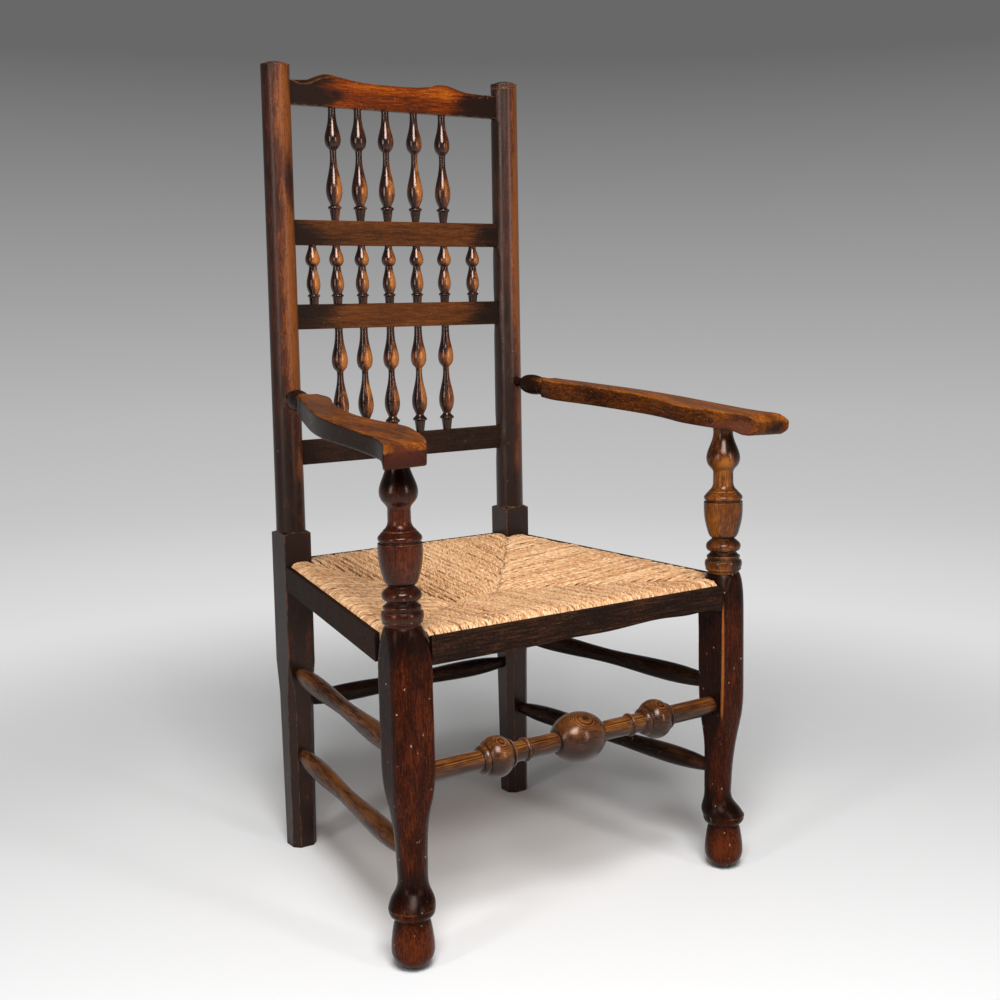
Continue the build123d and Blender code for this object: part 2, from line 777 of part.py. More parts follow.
# Rows of spindles: name, lower slat, upper slat, columns used, greatest radius, profile
# Profile points are (share of the greatest radius, share of the height from the top)
long_upper_shares = (
    ((0.46, 0.0), (0.46, 0.06), (0.60, 0.145), (0.98, 0.275), (0.78, 0.345)),
    ((0.42, 0.375),),
    ((0.39, 0.43), (0.62, 0.57), (1.00, 0.735), (0.80, 0.815)),
    ((0.50, 0.862),),
    ((0.76, 0.874),),
    ((0.84, 0.886), (0.76, 0.898)),
    ((0.66, 0.904),),
    ((0.46, 1.0),),
)
short_shares = (
    ((0.51, 0.0), (0.63, 0.08), (1.00, 0.224), (0.74, 0.335)),
    ((0.54, 0.358),),
    ((0.55, 0.39), (0.75, 0.51), (0.94, 0.655), (0.80, 0.765)),
    ((0.60, 0.825),),
    ((0.78, 0.843),),
    ((0.86, 0.860), (0.78, 0.877)),
    ((0.68, 0.885),),
    ((0.60, 1.0),),
)
long_lower_shares = (
    ((0.49, 0.0), (0.50, 0.06), (0.66, 0.155), (1.00, 0.305), (0.82, 0.362)),
    ((0.42, 0.395),),
    ((0.40, 0.44), (0.63, 0.56), (0.98, 0.70), (0.80, 0.79)),
    ((0.50, 0.838),),
    ((0.60, 0.852),),
    ((0.90, 0.873),),
    ((0.92, 0.884), (0.86, 0.892)),
    ((0.70, 0.898),),
    ((0.52, 1.0),),
)
clear_width = 2 * (rear_centre(1, upper_rail_bottom).X - post_diameter / 2)
columns = [share * clear_width for share in column_shares]
rows = (
    ("top", "upper_back_rail", "crest_rail", columns[1:-1], spindle_radius, long_upper_shares),
    ("middle", "middle_back_rail", "upper_back_rail", columns, short_spindle_radius, short_shares),
    ("bottom", "lower_back_rail", "middle_back_rail", columns[1:-1], spindle_radius, long_lower_shares),
)

for row, lower, upper, places, radius, cut_shares in rows:
    foot_height = sum(slats[lower])
    head_height = slats[upper][0]
    length = head_height - foot_height
    for number, x in enumerate(places, 1):
        start = back.from_local_coords(Vector(x, head_height))
        end = back.from_local_coords(Vector(x, foot_height))
        section_plane = turning_plane(start, end)
        first = cut_shares[0][0][0] * radius
        with BuildPart() as spindle:
            revolve(
                turned(
                    section_plane,
                    (first, 0),
                    sized((cut_shares[0][1:],) + cut_shares[1:], radius, length),
                ),
                axis=long_axis(section_plane),
            )
            with BuildSketch(Plane(origin=start, z_dir=end - start)):
                Circle(spindle_tenon / 2)
            extrude(amount=-spindle_tenon_depth + joint_clearance)
            with BuildSketch(Plane(origin=end, z_dir=end - start)):
                Circle(spindle_tenon / 2)
            extrude(amount=spindle_tenon_depth - joint_clearance)
        finish(spindle.part, f"spindle_{row}_{number}")


# Slats across the back; the crest has two low peaks and a worn front edge

crest_top_shares = (
    (-0.82, 0.07), (-0.73, 0.26), (-0.67, 0.70), (-0.60, 1.0), (-0.50, 0.83), (-0.30, 0.37), (-0.12, 0.26),
    (0.0, 0.24), (0.13, 0.28), (0.29, 0.52), (0.42, 0.90), (0.49, 0.72), (0.62, 0.20), (0.75, 0.05),
)


def crest_outline(plane, bottom, top, reach, lowered):
    """Face of the crest, with its curved top lowered between the ends."""
    half_span = rear_centre(1, bottom).X
    points = [(u * half_span, top + v * crest_peak_rise - lowered) for u, v in crest_top_shares]
    left = (crest_top_shares[0][0] * half_span - crest_shoulder, top)
    right = (crest_top_shares[-1][0] * half_span + crest_shoulder, top)
    with BuildSketch(plane) as outline:
        with BuildLine():
            Polyline(left, (-reach, top), (-reach, bottom), (reach, bottom), (reach, top), right)
            Spline(left, *points, right)
        make_face()
    return outline.sketch


for name, (bottom, height) in slats.items():
    reach = slat_reach(bottom + height / 2)
    with BuildPart() as slat:
        if name == "crest_rail":
            top = bottom + height
            middle = back.offset(rail_thickness / 2 - crest_bevel_depth)
            whole = crest_outline(middle, bottom, top, reach, 0)
            front_face = crest_outline(back.offset(rail_thickness / 2), bottom, top, reach, crest_bevel)
            extrude(whole, amount=crest_bevel_depth - rail_thickness)
            loft([whole, front_face], ruled=True)
        else:
            with BuildSketch(back):
                with Locations((0, bottom + height / 2)):
                    Rectangle(2 * reach, height)
            extrude(amount=rail_thickness / 2, both=True)
            fillet(slat.edges().filter_by(Axis.X), rail_arris)
        for row, lower, upper, places, radius, cut_shares in rows:
            if name not in (lower, upper):
                continue
            level = bottom if name == upper else bottom + height
            into = 1 if name == upper else -1
            for x in places:
                mouth = back.from_local_coords(Vector(x, level))
                with BuildSketch(Plane(origin=mouth, z_dir=back.y_dir * into)):
                    Circle(spindle_tenon / 2 + joint_clearance)
                extrude(amount=spindle_tenon_depth, mode=Mode.SUBTRACT)
    finish(slat.part, name)


# Stretchers

def stretcher(line, name):
    """Round stretcher, fuller in the middle, that runs straight into its holes."""
    start, end = line
    length = (end - start).length
    section_plane = turning_plane(start, end)
    end_r = stretcher_tenon / 2
    with BuildPart() as piece:
        revolve(
            turned(
                section_plane,
                (end_r, 0),
                [
                    [(end_r, stretcher_tenon_depth)],
                    [
                        (stretcher_end_radius, stretcher_tenon_depth + stretcher_radius),
                        (stretcher_radius, length / 2),
                        (stretcher_end_radius, length - stretcher_tenon_depth - stretcher_radius),
                        (end_r, length - stretcher_tenon_depth),
                    ],
                    [(end_r, length)],
                ],
            ),
            axis=long_axis(section_plane),
        )
    finish(piece.part, name)


stretcher(back_stretcher_line, "back_stretcher")
for side, hand in sides:
    for level, height in zip(("upper", "lower"), side_stretcher_heights):
        stretcher(side_stretcher_line(side, height), f"side_stretcher_{level}_{hand}")

# Front stretcher: half of its turning, from the middle out, as (radius, distance) points
front_ball_shares = ((0.97, 0.28), (0.84, 0.62), (0.484, 1.0))
bead_shares = (0.92, 0.6)
ring_foot_share = 0.333
half_length = front_stretcher_line[1].X
plain = front_stretcher_radius
bead = small_bead_radius
ball_in = small_ball_offset - small_ball_half_length
ball_out = small_ball_offset + small_ball_half_length
ring_at = front_ring_offset
step = front_groove
half_cuts = [
    [(r * front_ball_radius, x * front_ball_half_length) for r, x in front_ball_shares],
    [(plain - step, front_ball_half_length + step)],
    [(plain, front_ball_half_length + 2 * step)],
    [(plain, ring_at - front_ring_length / 2 - step)],
    [(plain - step, ring_at - front_ring_length / 2)],
    [(plain, ring_at - front_ring_length * ring_foot_share)],
    [(front_ring_radius, ring_at), (plain, ring_at + front_ring_length * ring_foot_share)],
    [(plain, ball_in - small_bead_length)],
    [
        (bead * bead_shares[0], ball_in - small_bead_length * bead_shares[1]),
        (bead, ball_in - step),
    ],
    [(bead - 2 * step, ball_in)],
    [(small_ball_radius, small_ball_offset), (bead - 2 * step, ball_out)],
    [(bead, ball_out + step)],
    [
        (bead * bead_shares[0], ball_out + small_bead_length * bead_shares[1]),
        (plain, ball_out + small_bead_length),
    ],
    [(plain, half_length - stretcher_tenon_depth - seat_clearance)],
    [(front_tenon / 2, half_length - stretcher_tenon_depth - seat_clearance)],
    [(front_tenon / 2, half_length)],
]
middle = (front_stretcher_line[0] + front_stretcher_line[1]) / 2
with BuildPart() as front_stretcher:
    for end in front_stretcher_line:
        section_plane = turning_plane(middle, end)
        revolve(
            turned(section_plane, (front_ball_radius, 0), half_cuts),
            axis=long_axis(section_plane),
        )
finish(front_stretcher.part, "front_stretcher")


# Edging strips round the seat, rush seat and nails

def strip_outline(name, inset, gap):
    """Corners of a strip's outer face, moved in by an inset and shortened by a gap at each end."""
    corners = []
    for drop, into in ((0, 1), (0, -1), (strip_height, -1), (strip_height, 1)):
        if name in ("front", "back"):
            y = front_corner.Y + inset if name == "front" else rear_corner.Y - inset
            height = seat_top(y) - drop
            if name == "front":
                face = front_centre(1, height).X - leg_square / 2 - gap
            else:
                face = rear_centre(1, height).X - post_square / 2 - gap
            corners.append(Vector(into * face, y, height))
        else:
            side = -1 if name == "left" else 1
            rear_face = rear_centre(1, seat_top_rear - drop).Y - post_square / 2 - gap
            front_face = front_centre(1, seat_top_front - drop).Y + leg_square / 2 + gap
            corners.append(side_point(side, inset, rear_face if into > 0 else front_face, drop))
    return corners


def strip_spots(name):
    """Nail places on a strip's outer face, with the direction into the seat."""
    drop = strip_height / 2
    spots = []
    for share in nail_shares:
        if name in ("front", "back"):
            y = front_corner.Y if name == "front" else rear_corner.Y
            into = Vector(0, 1 if name == "front" else -1, 0)
            spots.append((Vector(share * (rear_corner.X - post_square), y, seat_top(y) - drop), into))
        else:
            side = -1 if name == "left" else 1
            y = (rear_block_front + front_leg_rear) / 2 + share * (rear_block_front - front_leg_rear) / 2
            into = Vector(-side, -side_slope, 0).normalized()
            spots.append((side_point(side, 0, y, drop), into))
    return spots


seat_names = ("front", "back", "left", "right")
nail_hole = nail_diameter / 2 + nail_clearance
nail_flat_share = 0.3
nail_curve_shares = (0.75, 0.3)

for name in seat_names:
    outer_face = make_face(Polyline(*strip_outline(name, 0, seat_clearance), close=True))
    inner_face = make_face(Polyline(*strip_outline(name, strip_thickness, seat_clearance), close=True))
    with BuildPart() as strip:
        loft([outer_face, inner_face], ruled=True)
        if name == "front":
            low = seat_top(front_corner.Y) - strip_height
            span = front_corner.X - leg_square
            face_plane = Plane(origin=(0, front_corner.Y, low), x_dir=(1, 0, 0), z_dir=(0, -1, 0))
            wear = [(u * span, v * strip_wear) for u, v in strip_wear_shares]
            with BuildSketch(face_plane):
                with BuildLine():
                    Spline(*wear)
                    Polyline(wear[-1], (wear[-1][0], -overrun), (wear[0][0], -overrun), wear[0])
                make_face()
            extrude(amount=strip_thickness + overrun, both=True, mode=Mode.SUBTRACT)
        for spot, into in strip_spots(name):
            with BuildSketch(Plane(origin=spot, z_dir=into)):
                Circle(nail_hole)
            extrude(amount=nail_length, both=True, mode=Mode.SUBTRACT)
    finish(strip.part, f"edging_strip_{name}")

with BuildPart() as strip_nails:
    for name in seat_names:
        for spot, into in strip_spots(name):
            head_plane = turning_plane(spot - into * nail_head_rise, spot)
            head_r = nail_head_diameter / 2
            revolve(
                turned(
                    head_plane,
                    (nail_flat_share * head_r, 0),
                    [
                        [
                            (nail_curve_shares[0] * head_r, nail_curve_shares[1] * nail_head_rise),
                            (head_r, nail_head_rise),
                        ],
                        [(nail_diameter / 2, nail_head_rise)],
                        [(nail_diameter / 2, nail_length)],
                    ],
                ),
                axis=long_axis(head_plane),
            )
finish(strip_nails.part, "strip_nails")

# Seat rails: rounded bars with round tenons, bored for the nails
for name in seat_names:
    start, end = seat_rail_line(name)
    line = (end - start).normalized()
    long_plane = Plane(origin=start, x_dir=line.cross(Vector(0, 0, 1)), z_dir=line)
    length = (end - start).length
    body_gap = seat_tenon_depth + seat_shoulder
    with BuildPart() as seat_rail:
        with BuildSketch(long_plane.offset(body_gap)):
            RectangleRounded(seat_rail_width, seat_rail_height, seat_rail_round)
        extrude(amount=length - 2 * body_gap)
        with BuildSketch(long_plane):
            Circle(seat_tenon / 2)
        extrude(amount=length)
        for spot, into in strip_spots(name):
            with BuildSketch(Plane(origin=spot, z_dir=into)):
                Circle(nail_hole)
            extrude(amount=nail_length, mode=Mode.SUBTRACT)
    finish(seat_rail.part, f"seat_rail_{name}")

# Rush seat: one dished pad inside the strips, notched round the posts and legs
edge = strip_thickness + seat_clearance
leg_face = front_corner.X - leg_square - rush_gap
post_face = rear_corner.X - post_square - rush_gap
half_plan = [
    Vector(leg_face, front_corner.Y + edge),
    Vector(leg_face, front_leg_rear + rush_gap),
    side_point(1, edge, front_leg_rear + rush_gap, 0),
    side_point(1, edge, rear_block_front - rush_gap, 0),
    Vector(post_face, rear_block_front - rush_gap),
    Vector(post_face, rear_corner.Y - edge),
]
rush_plan = [(point.X, point.Y) for point in half_plan]
rush_plan += [(-x, y) for x, y in reversed(rush_plan)]
seat_plane = Plane(
    origin=(0, rear_y, seat_top_rear),
    x_dir=(1, 0, 0),
    z_dir=(0, seat_top_front - seat_top_rear, foot_gap),
)
dish_sphere = (rush_dish_radius**2 + rush_dish**2) / (2 * rush_dish)
with BuildPart() as rush_seat:
    with BuildSketch(Plane.XY.offset(seat_top_front - strip_height - overrun)):
        Polygon(*rush_plan, align=None)
    extrude(amount=strip_height + 3 * overrun)
    split(bisect_by=seat_plane.offset(rush_crown), keep=Keep.BOTTOM)
    split(bisect_by=seat_plane.offset(rush_skirt - strip_height), keep=Keep.TOP)
    top_edges = rush_seat.faces().sort_by(Axis.Z)[-1].edges().sort_by(SortBy.LENGTH)[-4:]
    fillet(top_edges, rush_roll)
    dish_centre = Vector(0, rush_dish_middle, rush_crown - rush_dish + dish_sphere)
    with Locations(seat_plane.from_local_coords(dish_centre)):
        Sphere(dish_sphere, mode=Mode.SUBTRACT)
    for name in seat_names:
        start, end = seat_rail_line(name)
        line = (end - start).normalized()
        with BuildSketch(Plane(origin=start, x_dir=line.cross(Vector(0, 0, 1)), z_dir=line)):
            RectangleRounded(
                seat_rail_width + 2 * seat_clearance,
                seat_rail_height + 2 * seat_clearance,
                seat_rail_round,
            )
        extrude(amount=(end - start).length, mode=Mode.SUBTRACT)
        for spot, into in strip_spots(name):
            with BuildSketch(Plane(origin=spot, z_dir=into)):
                Circle(nail_hole)
            extrude(amount=nail_length, mode=Mode.SUBTRACT)
finish(rush_seat.part, "rush_seat")
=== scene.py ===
import bpy
import math
import numpy as np
from mathutils import Matrix, Vector


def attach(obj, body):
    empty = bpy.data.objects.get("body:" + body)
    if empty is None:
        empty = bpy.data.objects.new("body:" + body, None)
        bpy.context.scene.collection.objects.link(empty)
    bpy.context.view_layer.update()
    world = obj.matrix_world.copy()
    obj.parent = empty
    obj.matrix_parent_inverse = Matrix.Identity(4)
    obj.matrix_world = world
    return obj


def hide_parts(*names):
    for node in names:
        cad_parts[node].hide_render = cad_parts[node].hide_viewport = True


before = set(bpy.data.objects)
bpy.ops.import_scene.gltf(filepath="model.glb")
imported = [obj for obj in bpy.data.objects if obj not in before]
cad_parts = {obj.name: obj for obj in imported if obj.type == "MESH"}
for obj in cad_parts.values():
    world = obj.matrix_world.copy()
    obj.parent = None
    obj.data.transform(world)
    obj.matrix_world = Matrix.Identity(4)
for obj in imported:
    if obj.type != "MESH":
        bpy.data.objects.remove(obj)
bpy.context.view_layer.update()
scene = bpy.context.scene
scene.view_settings.view_transform = "Standard"

# ---- places repeated from the model, in metres
REAR_Y = 0.23283                          # rear posts at the seat
DEPTH = 0.442                             # from the rear posts forward to the front legs
FRONT_Y = REAR_Y - DEPTH
TOP_REAR, TOP_FRONT = 0.4395, 0.4265      # tops of the edging strips
STRIP_H = 0.0352                          # height of the edging strips
POST_X, POST_Y = 0.197, REAR_Y + 0.004    # a rear post above the seat
LEG_X = 0.262                             # a front leg with its arm support
NECK_X, NECK_Y = 0.205, 0.188             # the turned neck of an arm
SLAT_END_X = 0.19                         # the visible ends of the back slats

# ---- camera at the photograph's place
CAMERA_AT = (-1.0936, -1.8461 + REAR_Y, 0.8448)
CAMERA_AIM = (0.0447, -0.2 + REAR_Y, 0.4656)
CAMERA_ROLL = -0.0079
CAMERA_SHIFT = (-0.00407, 0.04689)
FOCAL_MM, SENSOR_MM = 50.187, 36


def camera():
    data = bpy.data.cameras.new("camera")
    cam = bpy.data.objects.new("camera", data)
    scene.collection.objects.link(cam)
    place, aim = Vector(CAMERA_AT), Vector(CAMERA_AIM)
    turn = (aim - place).to_track_quat("-Z", "Y").to_matrix().to_4x4()
    cam.matrix_world = Matrix.Translation(place) @ turn @ Matrix.Rotation(CAMERA_ROLL, 4, "Z")
    data.sensor_width = SENSOR_MM
    data.lens = FOCAL_MM
    data.shift_x, data.shift_y = CAMERA_SHIFT
    data.clip_end = 60
    scene.camera = cam


camera()


# ---- node helpers
class Net:
    """Short ways to make the nodes of one material or world."""

    def __init__(self, owner):
        owner.use_nodes = True
        self.owner = owner
        self.tree = owner.node_tree
        self.tree.nodes.clear()

    def node(self, kind, **props):
        made = self.tree.nodes.new(kind)
        for key, value in props.items():
            setattr(made, key, value)
        return made

    def put(self, socket, value):
        """Link a socket to an input, or set the input's value; None leaves it alone."""
        if isinstance(value, bpy.types.NodeSocket):
            self.tree.links.new(value, socket)
        elif value is not None:
            if socket.type == "RGBA" and len(value) == 3:
                value = (*value, 1)
            socket.default_value = value

    def math(self, op, a, b=None, c=None):
        made = self.node("ShaderNodeMath", operation=op)
        for socket, value in zip(made.inputs, (a, b, c)):
            self.put(socket, value)
        return made.outputs[0]

    def vmath(self, op, a, b=None):
        made = self.node("ShaderNodeVectorMath", operation=op)
        self.put(made.inputs[0], a)
        self.put(made.inputs[1], b)
        return made.outputs["Value" if op in ("LENGTH", "DOT_PRODUCT", "DISTANCE") else 0]

    def ramp(self, fac, stops, mode="LINEAR"):
        made = self.node("ShaderNodeValToRGB")
        made.color_ramp.interpolation = mode
        items = made.color_ramp.elements
        while len(items) < len(stops):
            items.new(0.5)
        for item, (at, colour) in zip(items, stops):
            item.position = at
            if isinstance(colour, (int, float)):
                colour = (colour, colour, colour)
            item.color = (*colour, 1)
        self.put(made.inputs[0], fac)
        return made.outputs[0]

    def mix(self, fac, a, b):
        """Colour a, with b laid over it by the share fac."""
        made = self.node("ShaderNodeMix", data_type="RGBA")
        self.put(made.inputs[0], fac)
        self.put(made.inputs[6], a)
        self.put(made.inputs[7], b)
        return made.outputs[2]

    def span(self, value, lo, hi, out_lo=0.0, out_hi=1.0):
        """Smooth step of a value from lo to hi, clamped to out_lo and out_hi."""
        made = self.node("ShaderNodeMapRange", interpolation_type="SMOOTHSTEP")
        for k, v in enumerate((value, lo, hi, out_lo, out_hi)):
            self.put(made.inputs[k], v)
        return made.outputs[0]

    def swing(self, noise, amount, onto):
        """onto, plus how far a noise is from its middle times an amount."""
        return self.math("MULTIPLY_ADD", self.math("SUBTRACT", noise, 0.5), amount, onto)

    def here(self):
        return self.node("ShaderNodeTexCoord").outputs["Object"]

    def away(self, here, place, size):
        """Distance from a place, 1 on the ellipsoid with these half sizes round it."""
        off = self.vmath("SUBTRACT", here, place)
        return self.vmath("LENGTH", self.vmath("MULTIPLY", off, tuple(1 / s for s in size)))

    def open_air(self, distance):
        """Ambient occlusion: 1 in the open, less in a hollow."""
        made = self.node("ShaderNodeAmbientOcclusion", samples=4)
        made.inputs["Distance"].default_value = distance
        return made.outputs["AO"]

    def noise(self, where, scale, detail=4.0, rough=0.55, distort=0.0, colour=False):
        made = self.node("ShaderNodeTexNoise")
        self.put(made.inputs["Vector"], where)
        made.inputs["Scale"].default_value = scale
        made.inputs["Detail"].default_value = detail
        made.inputs["Roughness"].default_value = rough
        made.inputs["Distortion"].default_value = distort
        return made.outputs["Color" if colour else "Fac"]

    def mapped(self, where, scale=(1, 1, 1), rot=(0, 0, 0), loc=(0, 0, 0)):
        made = self.node("ShaderNodeMapping")
        self.put(made.inputs["Vector"], where)
        made.inputs["Scale"].default_value = scale
        made.inputs["Rotation"].default_value = rot
        made.inputs["Location"].default_value = loc
        return made.outputs[0]

    def bump(self, height, distance, strength=1.0, normal=None):
        made = self.node("ShaderNodeBump")
        made.inputs["Distance"].default_value = distance
        made.inputs["Strength"].default_value = strength
        self.put(made.inputs["Height"], height)
        self.put(made.inputs["Normal"], normal)
        return made.outputs[0]

    def surface(self, shader):
        out = self.node("ShaderNodeOutputMaterial")
        self.put(out.inputs[0], shader)
        return self.owner


# ---- wood
WAX_TINT = (1.0, 0.72, 0.62, 1.0)         # tint of the highlights
KNOCKED = (0.42, 0.30, 0.20)              # bare wood in a small knock
HOLLOW_SHADE = (0.0035, 0.002, 0.0015)            # painted shade in the hollows
EDGE_AIR = 0.012                          # distance at which a hollow counts as one


def wood(name, tones, along=(0, 0, 1), heart=(0.05, 0.07), ring=0.0014, sway=0.004, figure=0.5,
         blotch=(27, 5.0), spread=0.13, lift=0.0, mottle=0.62, streaky=0.36, speckle=0.0,
         worn=(0.42, 0.19, 0.06), edge=0.6, edge_r=0.0016, hollow_shade=0.8, nicks=0.3, pores=0.5,
         spec=0.32, rough=(0.30, 0.46), bump=0.0002, wavy=1.0, seed=0.0,
         levels=None, facing_light_and_stain=None, spots=(), stains=()):
    """Old waxed wood: a patchy stain over growth layers round a far heart, with fibres, pores, rubbed edges
    and painted shade in the hollows.

    tones are four colours from dark to light, and spread and lift say how the tone falls on them. Patches of
    the scale blotch, across and along the grain, vary it by mottle, long streaks by streaky, short flecks by
    speckle and the layers by figure. wavy is the share of the patches in the relief. levels lightens or
    darkens by height and spots by place; facing paints light and shade by direction, partly as a stain;
    stains lay a colour over a place."""
    n = Net(bpy.data.materials.new(name))
    here = n.here()
    turn = Vector(along).rotation_difference(Vector((0, 0, 1))).to_euler()
    straight = n.mapped(here, rot=turn)
    grain = n.mapped(straight, loc=(seed, seed * 1.7, seed * 2.3))
    patch = n.noise(n.mapped(grain, scale=(blotch[0], blotch[0], blotch[1])), 1.0, 4.0, 0.60, 0.5)
    streak = n.noise(n.mapped(grain, scale=(230, 230, 9)), 1.0, 3.0, 0.60)
    fine = n.noise(n.mapped(grain, scale=(620, 620, 46)), 1.0, 3.0, 0.62)
    fibre = n.noise(n.mapped(grain, scale=(1400, 1400, 70)), 1.0, 2.0, 0.6)

    # growth layers: distance from the heart, made uneven by a slow drift along the grain
    drift = n.noise(n.mapped(grain, scale=(22, 22, 4)), 1.0, 2.0, 0.5, colour=True)
    off = n.vmath("SCALE", n.vmath("SUBTRACT", drift, (0.5, 0.5, 0.5)))
    off.node.inputs["Scale"].default_value = sway
    flat = n.vmath("MULTIPLY", n.vmath("ADD", straight, off), (1, 1, 0.02))
    from_heart = n.vmath("DISTANCE", flat, (heart[0], heart[1], 0.0))
    layer = n.math("FRACT", n.math("DIVIDE", from_heart, ring))
    band = n.ramp(layer, [(0.0, 1.0), (0.16, 0.35), (0.45, 0.0), (0.80, 0.15), (1.0, 1.0)])
    band = n.math("MULTIPLY", band, n.span(streak, 0.34, 0.58, 0.25, 1.0))

    # one tone from 0, dark, to 1, light
    tone = n.swing(patch, mottle, 0.5 + lift)
    tone = n.swing(streak, streaky, tone)
    if speckle:
        speck = n.noise(n.mapped(grain, scale=(430, 430, 230)), 1.0, 3.0, 0.65)
        tone = n.swing(speck, speckle, tone)
    tone = n.swing(fine, 0.34, tone)
    tone = n.math("MULTIPLY_ADD", band, -0.13 * figure, tone)
    if levels is not None:
        bottom, top, steps, uneven = levels
        height = n.node("ShaderNodeSeparateXYZ")
        n.put(height.inputs[0], here)
        up = n.span(height.outputs[2], bottom, top)
        up.node.interpolation_type = "LINEAR"
        own = n.noise(n.mapped(here, scale=(33, 1, 5), loc=(seed, 0, 0)), 1.0, 2.0, 0.5)
        step = n.ramp(up, [(at, 0.5 + value) for at, value in steps], "EASE")
        tone = n.math("ADD", tone, n.math("SUBTRACT", step, 0.5))
        tone = n.swing(own, uneven, tone)
    # painted light and shade: lighter or darker by the way a face turns, partly the stain's own change
    if facing_light_and_stain is not None:
        toward, lo, hi, out_lo, out_hi = facing_light_and_stain
        normal = n.node("ShaderNodeNewGeometry").outputs["Normal"]
        side = n.vmath("DOT_PRODUCT", normal, tuple(Vector(toward).normalized()))
        tone = n.math("ADD", tone, n.span(side, lo, hi, out_lo, out_hi))
    ragged = n.math("MULTIPLY", n.math("SUBTRACT", patch, 0.5), 1.6)
    for place, size, value in spots:
        near = n.math("ADD", n.away(here, place, size), ragged)
        tone = n.math("ADD", tone, n.span(near, 1.35, 0.15, 0.0, value))

    # the stain's colours, dark pores and layers, and the laid-over places
    stops = list(zip((0.0, 0.33, 0.66, 1.0), tones))
    base = n.ramp(n.span(tone, 0.5 - spread, 0.5 + spread), stops)
    pore = n.span(fibre, 0.56, 0.74)
    base = n.mix(n.math("MULTIPLY", pore, 0.75 * pores), base, tuple(c * 0.6 for c in tones[0]))
    base = n.mix(n.math("MULTIPLY", band, 0.42 * figure), base, tuple(c * 0.8 for c in tones[0]))
    for place, size, colour, strength in stains:
        near = n.math("ADD", n.away(here, place, size), ragged)
        over = n.span(near, 1.1, 0.55, 0.0, strength)
        base = n.mix(n.math("MULTIPLY", over, n.span(streak, 0.2, 0.6, 0.6, 1.0)), base, colour)

    # light worn arrises from the rounded normal, painted shade in the hollows from occlusion, small pale
    # knocks
    geo = n.node("ShaderNodeNewGeometry")
    bevel = n.node("ShaderNodeBevel", samples=4)
    bevel.inputs["Radius"].default_value = edge_r
    rim = n.span(n.vmath("DOT_PRODUCT", bevel.outputs[0], geo.outputs["Normal"]), 0.985, 0.90)
    broken = n.noise(n.mapped(here, scale=(80, 80, 55), loc=(seed, 0, 0)), 1.0, 3.0, 0.6)
    rim = n.math("MULTIPLY", rim, n.span(broken, 0.40, 0.60))
    base = n.mix(n.math("MULTIPLY", rim, edge), base, worn)
    nick = n.noise(n.mapped(here, scale=(210, 210, 170), loc=(1, 2, seed)), 1.0, 1.0, 0.5)
    nick = n.span(nick, 0.745, 0.79)
    base = n.mix(n.math("MULTIPLY", nick, nicks), base, KNOCKED)
    # painted shade: the colour darkens where occlusion finds a hollow, in grooves and between parts
    hollow = n.span(n.open_air(EDGE_AIR), 0.93, 0.45)
    base = n.mix(n.math("MULTIPLY", hollow, hollow_shade), base, HOLLOW_SHADE)

    bsdf = n.node("ShaderNodeBsdfPrincipled")
    n.put(bsdf.inputs["Base Color"], base)
    gloss = n.math("ADD", n.math("MULTIPLY", patch, 0.5), n.math("MULTIPLY", fine, 0.5))
    gloss = n.span(gloss, 0.36, 0.64, rough[0], rough[1])
    n.put(bsdf.inputs["Roughness"], n.math("ADD", gloss, n.math("MULTIPLY", hollow, 0.25)))
    bsdf.inputs["Specular IOR Level"].default_value = spec
    bsdf.inputs["Specular Tint"].default_value = WAX_TINT
    relief = n.math("ADD", n.math("MULTIPLY", fine, 0.45), n.math("MULTIPLY", patch, 3.0 * wavy))
    relief = n.math("MULTIPLY_ADD", streak, 0.5, relief)
    for cut, deep in ((pore, 0.6 * pores), (band, 0.30 * figure), (nick, 0.6)):
        relief = n.math("SUBTRACT", relief, n.math("MULTIPLY", cut, deep))
    n.put(bsdf.inputs["Normal"], n.bump(relief, bump, 0.8, bevel.outputs[0]))
    return n.surface(bsdf.outputs[0])


def leaning(node):
    """Direction of a long node, from the far ends of its mesh."""
    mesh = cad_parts[node].data
    pts = np.empty(len(mesh.vertices) * 3)
    mesh.vertices.foreach_get("co", pts)
    pts = pts.reshape(-1, 3)
    axis = np.linalg.svd(pts[::7] - pts.mean(0), full_matrices=False)[2][0]
    return tuple(float(v) for v in axis)


def paint(node, mat):
    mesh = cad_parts[node].data
    mesh.materials.clear()
    mesh.materials.append(mat)


def both(x, y, z, size, value):
    """The same spot on the left and on the right."""
    return tuple(((side * x, y, z), size, value) for side in (-1, 1))


def ends(z, value, reach=0.075, half=0.04):
    """Darker places where a slat meets the posts."""
    return both(SLAT_END_X, REAR_Y, z, (reach, 0.05, half), value)


